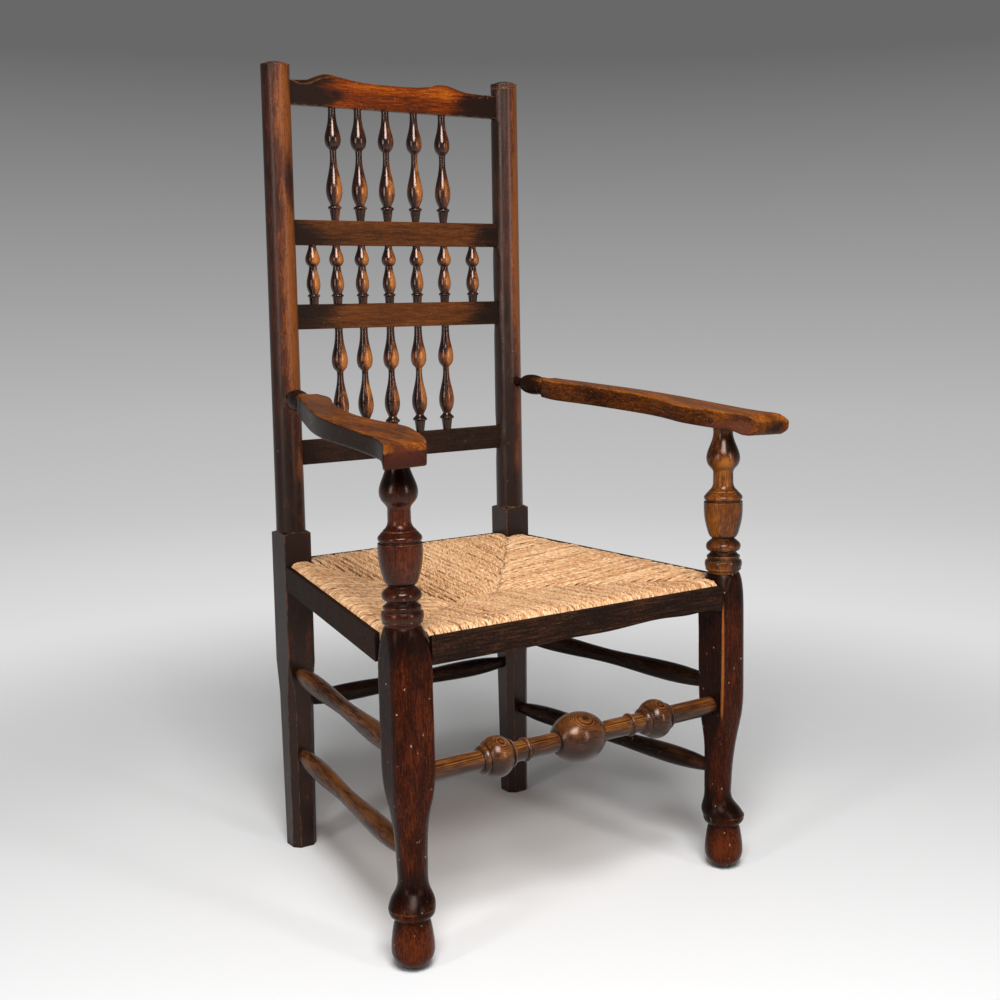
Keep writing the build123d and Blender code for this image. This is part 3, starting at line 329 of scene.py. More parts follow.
# ---- rear posts, front legs and arm supports
plum = ((0.0090, 0.0042, 0.0032), (0.034, 0.0095, 0.0054), (0.084, 0.0205, 0.0072), (0.200, 0.058, 0.011))
post_left = wood(
    "post_left_wood", plum, figure=0.25, blotch=(46, 16), spread=0.19, mottle=0.34, streaky=0.20,
    speckle=0.30, wavy=0.25, worn=(0.36, 0.14, 0.04), edge=0.75, heart=(-0.05, 0.45), rough=(0.31, 0.40),
    spec=0.34, bump=0.00005, pores=0.8, nicks=0.25, facing_light_and_stain=((0.9, -0.45, 0.0), -0.65, 0.75, -0.10, 0.07),
    spots=(((-POST_X + 0.012, POST_Y - 0.02, 0.80), (0.03, 0.04, 0.17), 0.12),
           ((-POST_X + 0.004, POST_Y - 0.02, 1.09), (0.03, 0.04, 0.06), 0.10),
           ((-POST_X + 0.012, POST_Y - 0.02, 0.985), (0.014, 0.03, 0.030), -0.14),
           ((-POST_X, POST_Y, 0.63), (0.06, 0.06, 0.07), -0.07),
           # painted shade: the next two spots darken the post under the seat
           ((-POST_X, POST_Y, 0.45), (0.06, 0.06, 0.15), -0.30),
           ((-POST_X, POST_Y, 0.16), (0.06, 0.06, 0.30), -0.26)))
post_right = wood(
    "post_right_wood", plum, figure=0.25, blotch=(44, 15), spread=0.19, mottle=0.34, streaky=0.20,
    speckle=0.26, wavy=0.2, worn=(0.42, 0.17, 0.05), edge=0.85, heart=(0.25, 0.45), rough=(0.29, 0.38),
    spec=0.50, bump=0.00004, pores=0.6, seed=0.9, nicks=0.2,
    facing_light_and_stain=((0.95, -0.30, 0.0), -0.30, 0.75, -0.12, 0.13),
    spots=(((POST_X + 0.015, POST_Y - 0.015, 0.90), (0.03, 0.04, 0.16), 0.14),
           ((POST_X, POST_Y, 0.68), (0.06, 0.06, 0.09), -0.05),
           ((POST_X, POST_Y, 0.58), (0.06, 0.06, 0.09), -0.04),
           # painted shade: the next two spots darken the post under the seat
           ((POST_X, POST_Y, 0.44), (0.06, 0.06, 0.10), -0.24),
           ((POST_X, POST_Y, 0.15), (0.06, 0.06, 0.24), -0.34)))
red = ((0.0050, 0.0016, 0.0010), (0.0150, 0.0028, 0.0010), (0.036, 0.0056, 0.0012), (0.100, 0.0190, 0.0036))
leg = wood(
    "leg_wood", red, figure=0.2, blotch=(52, 18), spread=0.19, mottle=0.28, streaky=0.14, speckle=0.36,
    wavy=0.4, lift=-0.01, worn=(0.40, 0.14, 0.035), edge=0.85, edge_r=0.0022, heart=(0.2, -0.4),
    rough=(0.22, 0.32), spec=0.10, seed=0.7, bump=0.00014, pores=1.0, nicks=0.8, hollow_shade=0.9,
    facing_light_and_stain=((0.15, -0.98, 0.0), -0.7, 0.5, -0.14, 0.04),
    spots=(both(LEG_X, -0.19, 0.035, (0.06, 0.06, 0.03), 0.16)
           + both(LEG_X, -0.20, 0.42, (0.05, 0.05, 0.03), -0.14)
           + both(LEG_X, -0.20, 0.10, (0.05, 0.05, 0.03), -0.14)),
    stains=(((0.2393, -0.2256, 0.335), (0.0032, 0.0032, 0.12), (0.30, 0.092, 0.020), 0.80),))
turned_left = wood(
    "turned_left_wood", red, figure=0.2, blotch=(50, 24), spread=0.19, mottle=0.30, streaky=0.16,
    speckle=0.24, wavy=0.3, worn=(0.32, 0.10, 0.03), edge=0.6, edge_r=0.0014, heart=(-0.5, 0.1),
    rough=(0.16, 0.25), spec=0.32, seed=1.3, bump=0.00007, hollow_shade=0.95, nicks=0.2, pores=0.7,
    spots=(((-LEG_X, -0.205, 0.525), (0.035, 0.04, 0.035), 0.08),
           ((-LEG_X, -0.205, 0.575), (0.03, 0.04, 0.016), 0.12),
           ((-LEG_X, -0.205, 0.625), (0.04, 0.04, 0.018), -0.22)))
amber = ((0.011, 0.0042, 0.0022), (0.046, 0.0125, 0.0034), (0.125, 0.034, 0.0052), (0.27, 0.088, 0.011))
turned_right = wood(
    "turned_right_wood", amber, figure=0.1, blotch=(44, 24), spread=0.20, mottle=0.42, streaky=0.12,
    speckle=0.10, wavy=0.3, worn=(0.50, 0.20, 0.05), edge=0.7, edge_r=0.0014, heart=(0.5, 0.1),
    rough=(0.17, 0.26), spec=0.34, seed=2.3, bump=0.00007, hollow_shade=0.98, nicks=0.15, pores=0.2,
    facing_light_and_stain=((-0.75, -0.65, 0.0), -0.2, 0.9, -0.20, 0.06),
    spots=(((0.27, -0.20, 0.612), (0.04, 0.04, 0.026), -0.22),
           ((0.255, -0.22, 0.595), (0.022, 0.03, 0.018), 0.16),
           ((LEG_X, -0.20, 0.462), (0.05, 0.05, 0.020), -0.12)))

# ---- spindles, one wood for each row, lighter and darker by height
gold = ((0.0080, 0.0032, 0.0024), (0.036, 0.0100, 0.0044), (0.125, 0.034, 0.0085), (0.37, 0.125, 0.024))
turnings = dict(
    figure=0.35, worn=(0.50, 0.22, 0.05), edge=0.35, edge_r=0.0008, heart=(-0.06, REAR_Y + 0.13),
    ring=0.0011, sway=0.002, blotch=(60, 34), spread=0.20, mottle=0.40, streaky=0.28, wavy=0.5,
    rough=(0.13, 0.20), spec=0.62, hollow_shade=0.9, bump=0.00010, nicks=0.1, pores=0.5,
    facing_light_and_stain=((0.88, -0.47, 0.0), -0.35, 0.55, -0.20, 0.07))
spindle = {
    "top": wood("spindle_top_wood", gold, seed=2.2, levels=(0.930, 1.100, [
        (0.0, -0.10), (0.10, -0.12), (0.20, 0.02), (0.30, 0.12), (0.46, 0.0), (0.57, -0.13), (0.70, -0.06),
        (0.80, -0.10), (1.0, -0.20)], 0.50), **turnings),
    "middle": wood("spindle_middle_wood", gold, seed=3.1, levels=(0.812, 0.904, [
        (0.0, -0.06), (0.16, -0.10), (0.24, 0.04), (0.36, 0.14), (0.52, 0.08), (0.60, -0.06), (0.72, 0.14),
        (0.82, 0.08), (1.0, -0.08)], 0.35), **turnings),
    "bottom": wood("spindle_bottom_wood", gold, seed=4.7, levels=(0.614, 0.786, [
        (0.0, -0.16), (0.16, -0.12), (0.26, 0.0), (0.38, 0.04), (0.56, -0.10), (0.63, 0.10), (0.70, 0.18),
        (0.80, -0.02), (1.0, -0.18)], 0.30), **turnings),
}

# ---- back slats and crest
slats = dict(
    along=(1, 0, 0), figure=0.25, ring=0.0011, spread=0.21, mottle=0.24, streaky=0.22, speckle=0.20,
    worn=(0.20, 0.075, 0.020), edge=0.6, rough=(0.36, 0.50), spec=0.11, bump=0.00008, nicks=0.12, pores=0.4)
walnut = ((0.011, 0.0056, 0.0040), (0.042, 0.0150, 0.0058), (0.095, 0.0280, 0.0075), (0.16, 0.052, 0.012))
umber = ((0.007, 0.0042, 0.0033), (0.015, 0.0080, 0.0058), (0.030, 0.0135, 0.0085), (0.075, 0.030, 0.014))
rail_upper = wood("rail_upper_wood", walnut, heart=(-0.60, 0.26), seed=3.0, blotch=(40, 9), lift=0.02,
                  spots=ends(0.918, -0.24), **slats)
rail_middle = wood("rail_middle_wood", walnut, heart=(-0.50, 0.26), seed=5.2, blotch=(40, 9), lift=0.04,
                   spots=ends(0.798, -0.24), **slats)
rail_low = wood("rail_low_wood", umber, heart=(-0.30, 0.26), seed=3.9, blotch=(30, 7), lift=-0.02, **slats)
fire = ((0.013, 0.0058, 0.0042), (0.070, 0.0130, 0.0030), (0.185, 0.030, 0.0022), (0.36, 0.088, 0.0070))
crest = wood(
    "crest_wood", fire, along=(1, 0, 0), figure=0.5, heart=(-0.98, 0.245), ring=0.0013, sway=0.010,
    blotch=(46, 12), spread=0.21, mottle=0.28, streaky=0.30, speckle=0.16, lift=-0.02,
    worn=(0.50, 0.20, 0.035), edge=0.40, edge_r=0.004, rough=(0.30, 0.42), spec=0.12, seed=4.4,
    bump=0.00014, nicks=0.2,
    spots=ends(1.112, -0.40, 0.090, 0.06) + (((-0.04, REAR_Y, 1.124), (0.09, 0.04, 0.010), 0.10),
                                             ((0.08, REAR_Y, 1.125), (0.05, 0.04, 0.014), 0.12)))

# ---- arms
honey = ((0.014, 0.0056, 0.0030), (0.078, 0.0215, 0.0054), (0.200, 0.053, 0.0068), (0.42, 0.130, 0.014))
arm_left = wood(
    "arm_left_wood", honey, along=(0.12, -0.99, -0.07), figure=0.4, heart=(0.02, 0.45), blotch=(34, 9),
    spread=0.21, mottle=0.34, streaky=0.34, speckle=0.24, lift=-0.01, worn=(0.56, 0.22, 0.045), edge=0.6,
    edge_r=0.0026, rough=(0.26, 0.38), spec=0.06, seed=5.1, bump=0.00018, nicks=0.15, pores=0.8,
    facing_light_and_stain=((0.0, 0.0, 1.0), 0.10, 0.72, -0.36, 0.02),
    spots=(((-NECK_X, NECK_Y, 0.685), (0.05, 0.034, 0.05), -0.45),),
    stains=(((-0.278, -0.283, 0.640), (0.070, 0.050, 0.055), (0.062, 0.0160, 0.0100), 0.95),))
arm_right = wood(
    "arm_right_wood", honey, along=(-0.12, -0.99, -0.07), figure=0.4, heart=(0.02, 0.45), blotch=(30, 6),
    spread=0.21, mottle=0.38, streaky=0.28, speckle=0.16, lift=0.0, worn=(0.60, 0.25, 0.055), edge=0.6,
    edge_r=0.0026, rough=(0.30, 0.44), spec=0.07, seed=6.1, bump=0.00012, nicks=0.15, pores=0.4,
    facing_light_and_stain=((0.0, 0.0, 1.0), 0.10, 0.72, -0.05, 0.06),
    spots=(((NECK_X, NECK_Y, 0.688), (0.05, 0.034, 0.05), -0.50),
           ((0.222, 0.12, 0.674), (0.02, 0.06, 0.010), -0.10)),
    stains=(((0.245, -0.225, 0.645), (0.030, 0.050, 0.014), (0.105, 0.032, 0.018), 0.75),
            ((0.290, -0.280, 0.640), (0.035, 0.040, 0.040), (0.016, 0.007, 0.005), 0.95)))

# ---- stretchers, strips and the hidden rails
ashen = ((0.010, 0.0045, 0.0028), (0.050, 0.0165, 0.0058), (0.130, 0.041, 0.0090), (0.28, 0.105, 0.020))
ash = wood(
    "front_stretcher_wood", ashen, along=(1, 0, 0), figure=1.8, heart=(-0.143, -0.146), ring=0.0011,
    sway=0.0010, blotch=(34, 12), spread=0.19, mottle=0.5, lift=-0.03, worn=(0.42, 0.17, 0.04), edge=0.5,
    rough=(0.13, 0.21), spec=0.46, bump=0.00012, pores=1.0, hollow_shade=0.92, nicks=0.1,
    facing_light_and_stain=((0.25, -0.25, 0.93), -0.6, 0.85, -0.16, 0.09))
soot = ((0.0065, 0.0042, 0.0033), (0.012, 0.0066, 0.0046), (0.027, 0.0115, 0.0065), (0.065, 0.026, 0.012))
strip = wood(
    "strip_wood", soot, along=(1, 0, 0), figure=0.4, heart=(-0.2, 0.5), worn=(0.13, 0.052, 0.020), edge=0.4,
    spec=0.05, rough=(0.50, 0.68), seed=6.0, bump=0.00012, nicks=0.1, blotch=(30, 9), mottle=0.26,
    streaky=0.16, speckle=0.30)
pine = ((0.10, 0.055, 0.025), (0.18, 0.105, 0.05), (0.28, 0.17, 0.08), (0.38, 0.25, 0.13))
bare = wood("hidden_wood", pine, rough=(0.6, 0.8), hollow_shade=0.4, nicks=0.0)
orange = ((0.012, 0.0048, 0.0028), (0.040, 0.0130, 0.0048), (0.092, 0.0290, 0.0080), (0.20, 0.072, 0.016))
sooty = ((0.0048, 0.0028, 0.0022), (0.0085, 0.0042, 0.0029), (0.018, 0.0072, 0.0041), (0.058, 0.020, 0.0080))


def rod(node, tones, seed):
    """A plain stretcher's own wood, with its grain along it."""
    return wood(node + "_wood", tones, along=leaning(node), figure=0.9, worn=(0.32, 0.13, 0.035), edge=0.4,
                heart=(0.16, 0.12), ring=0.0012, rough=(0.24, 0.36), spec=0.12, bump=0.00028, pores=1.0,
                hollow_shade=0.85, blotch=(40, 12), spread=0.17, mottle=0.5, seed=seed,
                facing_light_and_stain=((-0.3, -0.3, 0.9), -0.5, 0.9, -0.10, 0.06))


def iron():
    n = Net(bpy.data.materials.new("iron"))
    rust = n.noise(n.here(), 900, 3)
    bsdf = n.node("ShaderNodeBsdfPrincipled")
    base = n.ramp(rust, [(0.35, (0.008, 0.005, 0.004)), (0.7, (0.03, 0.016, 0.010))])
    n.put(bsdf.inputs["Base Color"], base)
    n.put(bsdf.inputs["Roughness"], n.span(rust, 0.3, 0.7, 0.4, 0.7))
    bsdf.inputs["Specular IOR Level"].default_value = 0.12
    n.put(bsdf.inputs["Normal"], n.bump(rust, 0.0001))
    return n.surface(bsdf.outputs[0])


for hand, side, post, turned, arm, tones in (("left", -1, post_left, turned_left, arm_left, orange),
                                             ("right", 1, post_right, turned_right, arm_right, sooty)):
    paint("rear_post_" + hand, post)
    paint("front_leg_" + hand, leg)
    paint("arm_support_" + hand, turned)
    paint("arm_" + hand, arm)
    for level in ("upper", "lower"):
        stretcher = "side_stretcher_%s_%s" % (level, hand)
        paint(stretcher, rod(stretcher, tones, side + len(level)))
paint("back_stretcher", rod("back_stretcher", sooty, 4.0))
paint("front_stretcher", ash)
paint("crest_rail", crest)
paint("upper_back_rail", rail_upper)
paint("middle_back_rail", rail_middle)
paint("lower_back_rail", rail_low)
paint("arm_pegs", turned_left)
paint("strip_nails", iron())
for where in ("front", "back", "left", "right"):
    paint("edging_strip_" + where, strip)
    paint("seat_rail_" + where, bare)
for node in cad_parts:
    if node.startswith("spindle_"):
        paint(node, spindle[node.split("_")[1]])


def add_mesh(name, verts, faces):
    """A smooth object of these points and faces, in the scene."""
    mesh = bpy.data.meshes.new(name)
    mesh.from_pydata(verts, [], faces)
    mesh.update()
    mesh.shade_smooth()
    obj = bpy.data.objects.new(name, mesh)
    scene.collection.objects.link(obj)
    return obj


# ---- rush seat: cords wound over the rails in four mitred panels
rng = np.random.default_rng(41)
PITCH = 0.0042                            # between the cords of a panel
CORD_R = 0.00235                          # radius of a cord
CORD_SIDES = 8                            # points round a cord
RING_STEP = 0.0017                        # between the rings of points along a cord
SHORTEST = 0.006                          # no cord has a shorter run from the rail to a seam
TURN = 6.283                              # one turn of the strands, in radians
TWIST = (0.017, 0.030)                    # shortest and longest run of one turn
WAVE, RIPPLE = 0.014, 0.012               # between the knots of a cord's path, and of its twist
TOP_ROLL, LOW_ROLL = 0.0115, 0.010        # radii round the rail, above and below
RUSH_EDGE = 0.0074                        # from the seat's outer faces in to the cords' middles
CORD_SINK, CORE_SINK = 0.0026, 0.0048     # middles of the cords, and the core's top, below the crown
LOW_CORD, LOW_CORE = 0.0065, 0.0075       # the same above the strips' lower edges
CORE_INSET = 0.010                        # from the outermost cords' middles in to the core's rim
BLOCK_HALF, LEG_HALF = 0.0215, 0.0253     # half the rear blocks and the front legs
BLOCK_X, BLOCK_Y = 0.1976, 0.0031         # a rear block at the seat, y from REAR_Y
LEG_TOP_X, LEG_TOP_Y = 0.2638, 0.0120     # a front leg at the seat, y from FRONT_Y
FRONT_RUN, BACK_RUN, SIDE_RUN = 0.473, 0.349, 0.392     # rush along each rail


def plane_z(y):
    """Height of the strip tops."""
    return TOP_REAR - (TOP_REAR - TOP_FRONT) * (REAR_Y - y) / DEPTH


# where the panels meet: at the blocks and legs, and at the two ends of the seam in the middle
REAR_CORNER_Y = REAR_Y + 0.0035 + BLOCK_HALF - 0.0455
FRONT_CORNER_Y = FRONT_Y + LEG_TOP_Y + LEG_HALF
BL, BR = np.array((-0.1755, REAR_CORNER_Y)), np.array((0.1755, REAR_CORNER_Y))
FL, FR = np.array((-0.2375, FRONT_CORNER_Y)), np.array((0.2375, FRONT_CORNER_Y))
JL, JR = np.array((-0.095, REAR_Y - 0.283)), np.array((-0.004, REAR_Y - 0.256))
SEAMS = ((BL, JL), (BR, JR), (FL, JL), (FR, JR), (JL, JR))
REAR_LINE = REAR_Y + BLOCK_Y + BLOCK_HALF - RUSH_EDGE
FRONT_LINE = FRONT_Y + LEG_TOP_Y - LEG_HALF + RUSH_EDGE


def side_x(y):
    """Outer edge of the rush on the chair's right at y."""
    x_rear = BLOCK_X + BLOCK_HALF
    x_front = LEG_TOP_X + LEG_HALF
    y_rear = REAR_Y + BLOCK_Y - BLOCK_HALF
    share = (y_rear - y) / (y_rear - FRONT_CORNER_Y)
    return x_rear + (x_front - x_rear) * share - RUSH_EDGE * 1.015


def side_edge(side, t):
    """Point at the share t of a side rail, from the back."""
    y = REAR_CORNER_Y - t * (REAR_CORNER_Y - FRONT_CORNER_Y)
    return np.array((side * side_x(y), y))


def line_dist(p, a, b):
    """Distance from p to the piece of line a-b."""
    ab = b - a
    t = np.clip(((p - a) @ ab) / (ab @ ab), 0, 1)
    return float(np.linalg.norm(p - a - ab * t))


def crown(p, s):
    """Height of the rush over the strip tops, s from 0 at the rail to 1 at the middle: raised and swollen
    near the rail, hollow in the middle, with a groove along each seam."""
    s = min(max(s, 0.0), 1.0)
    lift = 0.0045 - 0.0165 * (s ** 1.25) + 0.002 * math.exp(-((s - 0.12) / 0.1) ** 2)
    seam = min(line_dist(p, a, b) for a, b in SEAMS)
    return lift - 0.0030 * math.exp(-(seam / 0.008) ** 2)


def cross(p, d, a, b):
    """Distance along d from p to the line a-b, None if it misses."""
    ab = b - a
    m = np.array(((d[0], -ab[0]), (d[1], -ab[1])))
    if abs(np.linalg.det(m)) < 1e-9:
        return None
    t, u = np.linalg.solve(m, a - p)
    return t if t > 0 and -0.02 <= u <= 1.02 else None


def seam_hit(p, d, seams):
    """Distance along d from p to the first of the seams."""
    hits = [cross(p, d, a, b) for a, b in seams]
    hits = [h for h in hits if h is not None]
    return min(hits) if hits else None


# each panel: name, point at the share t of its rail, way inward, seams that end its cords, run on the rail
PANELS = (
    ("front", lambda t: np.array((-FRONT_RUN / 2 + FRONT_RUN * t, FRONT_LINE)), (0, 1),
     ((FL, JL), (JL, JR), (JR, FR)), FRONT_RUN),
    ("back", lambda t: np.array((-BACK_RUN / 2 + BACK_RUN * t, REAR_LINE)), (0, -1),
     ((BL, JL), (JL, JR), (JR, BR)), BACK_RUN),
    ("left", lambda t: side_edge(-1, t), (1, 0), ((BL, JL), (JL, FL)), SIDE_RUN),
    ("right", lambda t: side_edge(1, t), (-1, 0), ((BR, JR), (JR, FR)), SIDE_RUN),
)
# from each rail to the middle of the seat
REACH = {"front": abs(JR[1] - FRONT_LINE), "back": abs(REAR_LINE - JR[1]), "left": 0.16, "right": 0.25}


def wander(at, length, step, sigma):
    """A random value along a cord, with a new draw about every step."""
    knots = np.linspace(0, length, max(3, int(length / step)))
    return np.interp(at, knots, rng.normal(0, sigma, len(knots)))


def rolled(roll, d):
    """How far a cord has turned down at d from its edge, round a radius."""
    return roll - np.sqrt(np.maximum(roll * roll - np.maximum(roll - d, 0.0) ** 2, 0.0))


def cord_path(name, edge, inward, length, lane):
    """Points of one cord: from the seam over the top, round the rail and back below."""
    side = np.array((-inward[1], inward[0]))
    steps = max(8, int(length / RING_STEP))
    d = length * (1 - np.arange(steps + 1) / steps)
    t = d / length
    drift = wander(d, length, WAVE, 0.00055) + lane * t * t
    heave = wander(d, length, WAVE, 0.00050)
    flat = edge + np.outer(d, inward) + np.outer(drift, side)
    worn_down = 0.0020 * np.exp(-(d / 0.030) ** 2) if name in ("right", "back") else 0.0
    lift = np.array([crown(q, e / REACH[name]) for q, e in zip(flat, d)])
    z = plane_z(flat[:, 1]) + lift - CORD_SINK - rolled(TOP_ROLL, d) - worn_down + heave
    top = np.column_stack((flat, z))
    low = plane_z(edge[1]) - STRIP_H + LOW_CORD
    down = np.linspace(z[-1], low + 0.008, 5)[1:]
    outside = np.column_stack((np.full(4, edge[0]), np.full(4, edge[1]), down))
    e = length * np.arange(1, steps // 5 + 3) / (steps // 5 + 2)
    flat = edge + np.outer(e, inward)
    z = low - 0.0035 + rolled(LOW_ROLL, e) + 0.004 * np.minimum(e / REACH[name], 1.0)
    return np.vstack((top, outside, np.column_stack((flat, z))))


def cord_rings(path, across):
    """Rings of points round a path, two twisted strands wide, and how far along and round each point is."""
    around = 2 * math.pi * np.arange(CORD_SIDES) / CORD_SIDES
    tang = np.gradient(path, axis=0)
    tang /= np.linalg.norm(tang, axis=1)[:, None]
    nor = np.cross(tang, across)
    nor /= np.linalg.norm(nor, axis=1)[:, None]
    arc = np.concatenate(([0], np.cumsum(np.linalg.norm(np.diff(path, axis=0), axis=1))))
    turns = rng.uniform(0, 6.3) + TURN * arc / rng.uniform(*TWIST)
    turns += wander(arc, arc[-1], RIPPLE, 0.5)
    thick = CORD_R * (1 + rng.normal(0, 0.06) + wander(arc, arc[-1], RIPPLE, 0.07))
    lobe = thick[:, None] * (0.88 + 0.17 * np.cos(2 * (around[None, :] - turns[:, None])))
    ring = path[:, None, :] + across * (1.12 * lobe * np.cos(around))[..., None]
    ring = ring + nor[:, None, :] * (lobe * np.sin(around))[..., None]
    spun = around[None, :] / (2 * math.pi) - turns[:, None] / (2 * math.pi)
    run = np.broadcast_to(arc[:, None], lobe.shape)
    return ring.reshape(-1, 3), np.stack((run, spun), axis=-1).reshape(-1, 2)


def build_rush():
    """Twisted two-strand cords, laid close, each with its own run, thickness and tint."""
    verts, quads, caps, uvs, tints = [], [], [], [], []
    total = 0
    for name, rail_at, inward, seams, rail_len in PANELS:
        inward = np.array(inward, float)
        across = np.array((-inward[1], inward[0], 0.0))
        number = int(rail_len / PITCH)
        for i in range(number):
            edge = rail_at((i + 0.5 + rng.uniform(-0.2, 0.2)) / number)
            length = seam_hit(edge, inward, seams)
            if length is None or length < SHORTEST:
                continue
            path = cord_path(name, edge, inward, length + rng.uniform(0.0005, 0.004), rng.normal(0, 0.0016))
            path[:, 2] += rng.normal(0, 0.0005)
            ring, uv = cord_rings(path, across)
            verts.append(ring)
            uvs.append(uv)
            tints.append(np.full(len(ring), rng.uniform(0, 1)))
            k, j = np.meshgrid(np.arange(len(path) - 1), np.arange(CORD_SIDES), indexing="ij")
            a, b = k * CORD_SIDES + j, k * CORD_SIDES + (j + 1) % CORD_SIDES
            quad = np.stack((a, b, b + CORD_SIDES, a + CORD_SIDES), axis=-1)
            quads.append(quad.reshape(-1, 4) + total)
            last = total + len(ring)
            caps.append(tuple(range(total, total + CORD_SIDES)))
            caps.append(tuple(range(last - 1, last - CORD_SIDES - 1, -1)))
            total = last
    obj = add_mesh("rush_cords", np.vstack(verts).tolist(), np.vstack(quads).tolist() + caps)
    mesh = obj.data
    uv = mesh.uv_layers.new(name="along")
    loops = np.empty(len(mesh.loops), dtype=np.int32)
    mesh.loops.foreach_get("vertex_index", loops)
    uv.data.foreach_set("uv", np.vstack(uvs)[loops].ravel())
    att = mesh.attributes.new("tint", "FLOAT", "POINT")
    att.data.foreach_set("value", np.concatenate(tints).astype(np.float32))
    return obj


def rush_material():
    """Dry rush: fibres and leaves along each cord, a tint of its own, and painted shade in the gaps between
    the cords.
    """
    n = Net(bpy.data.materials.new("rush"))
    uv = n.node("ShaderNodeUVMap", uv_map="along").outputs[0]
    tint = n.node("ShaderNodeAttribute", attribute_name="tint").outputs["Fac"]
    shift = n.node("ShaderNodeCombineXYZ")
    n.put(shift.inputs[0], n.math("MULTIPLY", tint, 37.0))
    n.put(shift.inputs[1], n.math("MULTIPLY", tint, 91.0))
    fibre = n.noise(n.vmath("ADD", n.mapped(uv, scale=(95, 15, 1)), shift.outputs[0]), 1.0, 2.0, 0.55)
    leaf = n.noise(n.vmath("ADD", n.mapped(uv, scale=(62, 6.0, 1)), shift.outputs[0]), 1.0, 1.5, 0.5)
    mottle = n.noise(n.mapped(n.here(), scale=(22, 22, 22)), 1.0, 4.0, 0.6)
    tone = n.math("ADD", n.math("MULTIPLY", leaf, 0.60), n.math("MULTIPLY", fibre, 0.40))
    tone = n.math("ADD", tone, n.math("MULTIPLY", n.math("SUBTRACT", tint, 0.5), 0.12))
    base = n.ramp(tone, [(0.33, (0.17, 0.062, 0.020)), (0.42, (0.50, 0.220, 0.083)),
                         (0.50, (0.78, 0.415, 0.185)), (0.62, (0.98, 0.69, 0.40))])
    base = n.mix(n.math("MULTIPLY", n.span(mottle, 0.50, 0.72), 0.30), base, (0.62, 0.28, 0.09))
    # painted shade: darker where occlusion finds the gaps between the cords
    base = n.mix(n.span(n.open_air(0.004), 0.60, 0.10, 0.0, 0.60), base, (0.24, 0.100, 0.036))
    bsdf = n.node("ShaderNodeBsdfPrincipled")
    n.put(bsdf.inputs["Base Color"], base)
    n.put(bsdf.inputs["Roughness"], n.span(fibre, 0.3, 0.7, 0.40, 0.60))
    bsdf.inputs["Sheen Weight"].default_value = 0.10
    n.put(bsdf.inputs["Normal"], n.bump(fibre, 0.0005, 0.9))
    return n.surface(bsdf.outputs[0])


def core_material():
    n = Net(bpy.data.materials.new("rush_core"))
    dust = n.noise(n.here(), 120, 4)
    bsdf = n.node("ShaderNodeBsdfPrincipled")
    base = n.ramp(dust, [(0.3, (0.10, 0.042, 0.016)), (0.8, (0.24, 0.11, 0.045))])
    n.put(bsdf.inputs["Base Color"], base)
    bsdf.inputs["Roughness"].default_value = 0.9
    n.put(bsdf.inputs["Normal"], n.bump(dust, 0.001))
    return n.surface(bsdf.outputs[0])


def build_core():
    """Stuffing between the upper and the lower cords: two grids of points, closed round the rim."""
    verts, faces = [], []
    nx, ny = 48, 44
    y0, y1 = FRONT_LINE + CORE_INSET, REAR_LINE - CORE_INSET
    for layer in ("top", "bottom"):
        for i in range(ny + 1):
            y = y0 + (y1 - y0) * i / ny
            wide = side_x(y) - CORE_INSET
            if y > REAR_CORNER_Y:
                wide = min(wide, BACK_RUN / 2)
            if y < FRONT_CORNER_Y:
                wide = min(wide, FRONT_RUN / 2)
            for j in range(nx + 1):
                x = -wide + 2 * wide * j / nx
                if layer == "top":
                    s = min((y - FRONT_LINE) / REACH["front"], (REAR_LINE - y) / REACH["back"],
                            (side_x(y) - x) / REACH["right"], (side_x(y) + x) / REACH["left"])
                    z = plane_z(y) + crown(np.array((x, y)), s) - CORE_SINK
                else:
                    z = plane_z(y) - STRIP_H + LOW_CORE
                verts.append((x, y, z))
    stride = nx + 1
    size = (ny + 1) * stride
    for i in range(ny):
        for j in range(nx):
            a = i * stride + j
            b = size + a
            faces.append((a, a + 1, a + stride + 1, a + stride))
            faces.append((b + stride, b + stride + 1, b + 1, b))
    rim = list(range(nx + 1)) + [i * stride + nx for i in range(1, ny + 1)]
    rim += [ny * stride + j for j in range(nx - 1, -1, -1)] + [i * stride for i in range(ny - 1, 0, -1)]
    for a, b in zip(rim, rim[1:] + rim[:1]):
        faces.append((b, a, size + a, size + b))
    return add_mesh("rush_core", verts, faces)


cords = build_rush()
cords.data.materials.append(rush_material())
core = build_core()
core.data.materials.append(core_material())
for piece in (cords, core):
    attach(piece, "root")
    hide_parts("rush_seat")


# ---- studio: a pale floor that rises all round into a grey wall
FLAT_R, CURVE_R = 3.2, 0.5                # the flat floor, and the bend from it into the wall
WALL_TOP = 5.0
LIT_FROM, LIT_TO = 0.75, 1.9              # the floor goes over from lit to the painted light falloff between these radii
TONE_RUN = 8.0                            # length over which the tones are laid
# painted light: brightness falling off with distance and height, glowing to the camera and in mirrors
PAINTED_FALLOFF = ((0.00, 0.94), (0.10, 0.88), (0.24, 0.72), (0.40, 0.59), (0.53, 0.485), (0.62, 0.36), (0.80, 0.140))


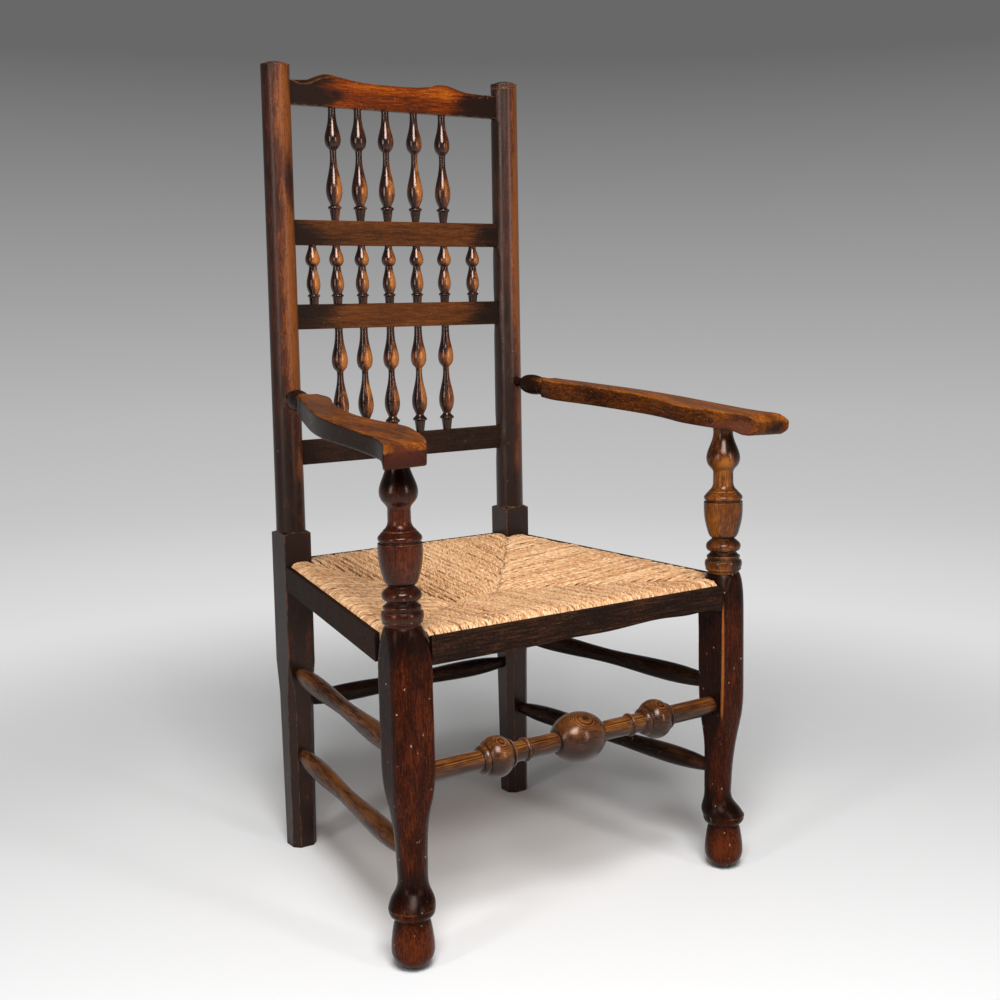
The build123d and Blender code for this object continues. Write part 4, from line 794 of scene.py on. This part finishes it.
def studio_material():
    """Lit floor near the chair; farther out painted light, tones falling off with distance and height, which
    glow to the camera and in mirrors and are plain to all other rays."""
    n = Net(bpy.data.materials.new("studio_floor"))
    place = n.node("ShaderNodeNewGeometry").outputs["Position"]
    parts = n.node("ShaderNodeSeparateXYZ")
    n.put(parts.inputs[0], place)
    radius = n.vmath("LENGTH", n.vmath("MULTIPLY", place, (1, 1, 0)))
    path = n.math("ADD", radius, n.math("MULTIPLY", parts.outputs[2], 1.6))
    tone = n.ramp(n.math("DIVIDE", path, TONE_RUN), PAINTED_FALLOFF)
    glow = n.node("ShaderNodeEmission")
    n.put(glow.inputs[0], tone)
    glow.inputs[1].default_value = 1.0
    plain = n.node("ShaderNodeBsdfDiffuse")
    n.put(plain.inputs[0], tone)
    lit = n.node("ShaderNodeBsdfDiffuse")
    n.put(lit.inputs[0], (0.88, 0.88, 0.88))
    rays = n.node("ShaderNodeLightPath")
    seen = n.math("MAXIMUM", rays.outputs["Is Camera Ray"], rays.outputs["Is Glossy Ray"])
    seen = n.math("MAXIMUM", seen, rays.outputs["Is Transmission Ray"])
    wall = n.node("ShaderNodeMixShader")
    join = n.node("ShaderNodeMixShader")
    near = n.span(radius, LIT_FROM, LIT_TO)
    for made, values in ((wall, (seen, plain.outputs[0], glow.outputs[0])),
                         (join, (near, lit.outputs[0], wall.outputs[0]))):
        for socket, value in zip(made.inputs, values):
            n.put(socket, value)
    return n.surface(join.outputs[0])


def studio():
    profile = [(r, 0.0) for r in (0.3, 0.6, 0.9, 1.2, 1.6, 2.0, 2.5, 3.0, FLAT_R)]
    profile += [(FLAT_R + CURVE_R * math.sin(a), CURVE_R - CURVE_R * math.cos(a))
                for a in np.linspace(0.15, math.pi / 2, 10)]
    profile += [(FLAT_R + CURVE_R, z) for z in (1.2, 2.4, WALL_TOP)]
    turns = 96
    verts, faces = [(0, 0, 0)], []
    for r, z in profile:
        for k in range(turns):
            a = 2 * math.pi * k / turns
            verts.append((r * math.cos(a), r * math.sin(a), z))
    for k in range(turns):
        faces.append((0, 1 + k, 1 + (k + 1) % turns))
    for i in range(len(profile) - 1):
        for k in range(turns):
            a = 1 + i * turns + k
            b = 1 + i * turns + (k + 1) % turns
            faces.append((a, a + turns, b + turns, b))
    obj = add_mesh("studio_floor", verts, faces)
    obj.data.materials.append(studio_material())


studio()


def lamp(name, place, aim, wide, high, power):
    """A rectangular lamp at a place, turned to its aim."""
    data = bpy.data.lights.new(name, "AREA")
    data.shape = "RECTANGLE"
    data.size = wide
    data.size_y = high
    data.energy = power
    obj = bpy.data.objects.new(name, data)
    scene.collection.objects.link(obj)
    obj.location = place
    obj.rotation_euler = (Vector(aim) - Vector(place)).to_track_quat("-Z", "Y").to_euler()


MIDDLE = (0, 0, 0.55)
SKY = 0.16                                # strength of the white light from all round
lamp("top", (-0.95, -1.65, 2.5), (0, 0, 0.35), 1.2, 1.2, 92)
lamp("left", (-2.6, -0.75, 1.15), MIDDLE, 0.4, 1.3, 17)
lamp("right", (0.65, -2.6, 1.15), MIDDLE, 0.25, 1.2, 14)

scene.world = bpy.data.worlds.new("world")
w = Net(scene.world)
sky = w.node("ShaderNodeBackground")
sky.inputs[0].default_value = (1, 1, 1, 1)
sky.inputs[1].default_value = SKY
w.put(w.node("ShaderNodeOutputWorld").inputs[0], sky.outputs[0])
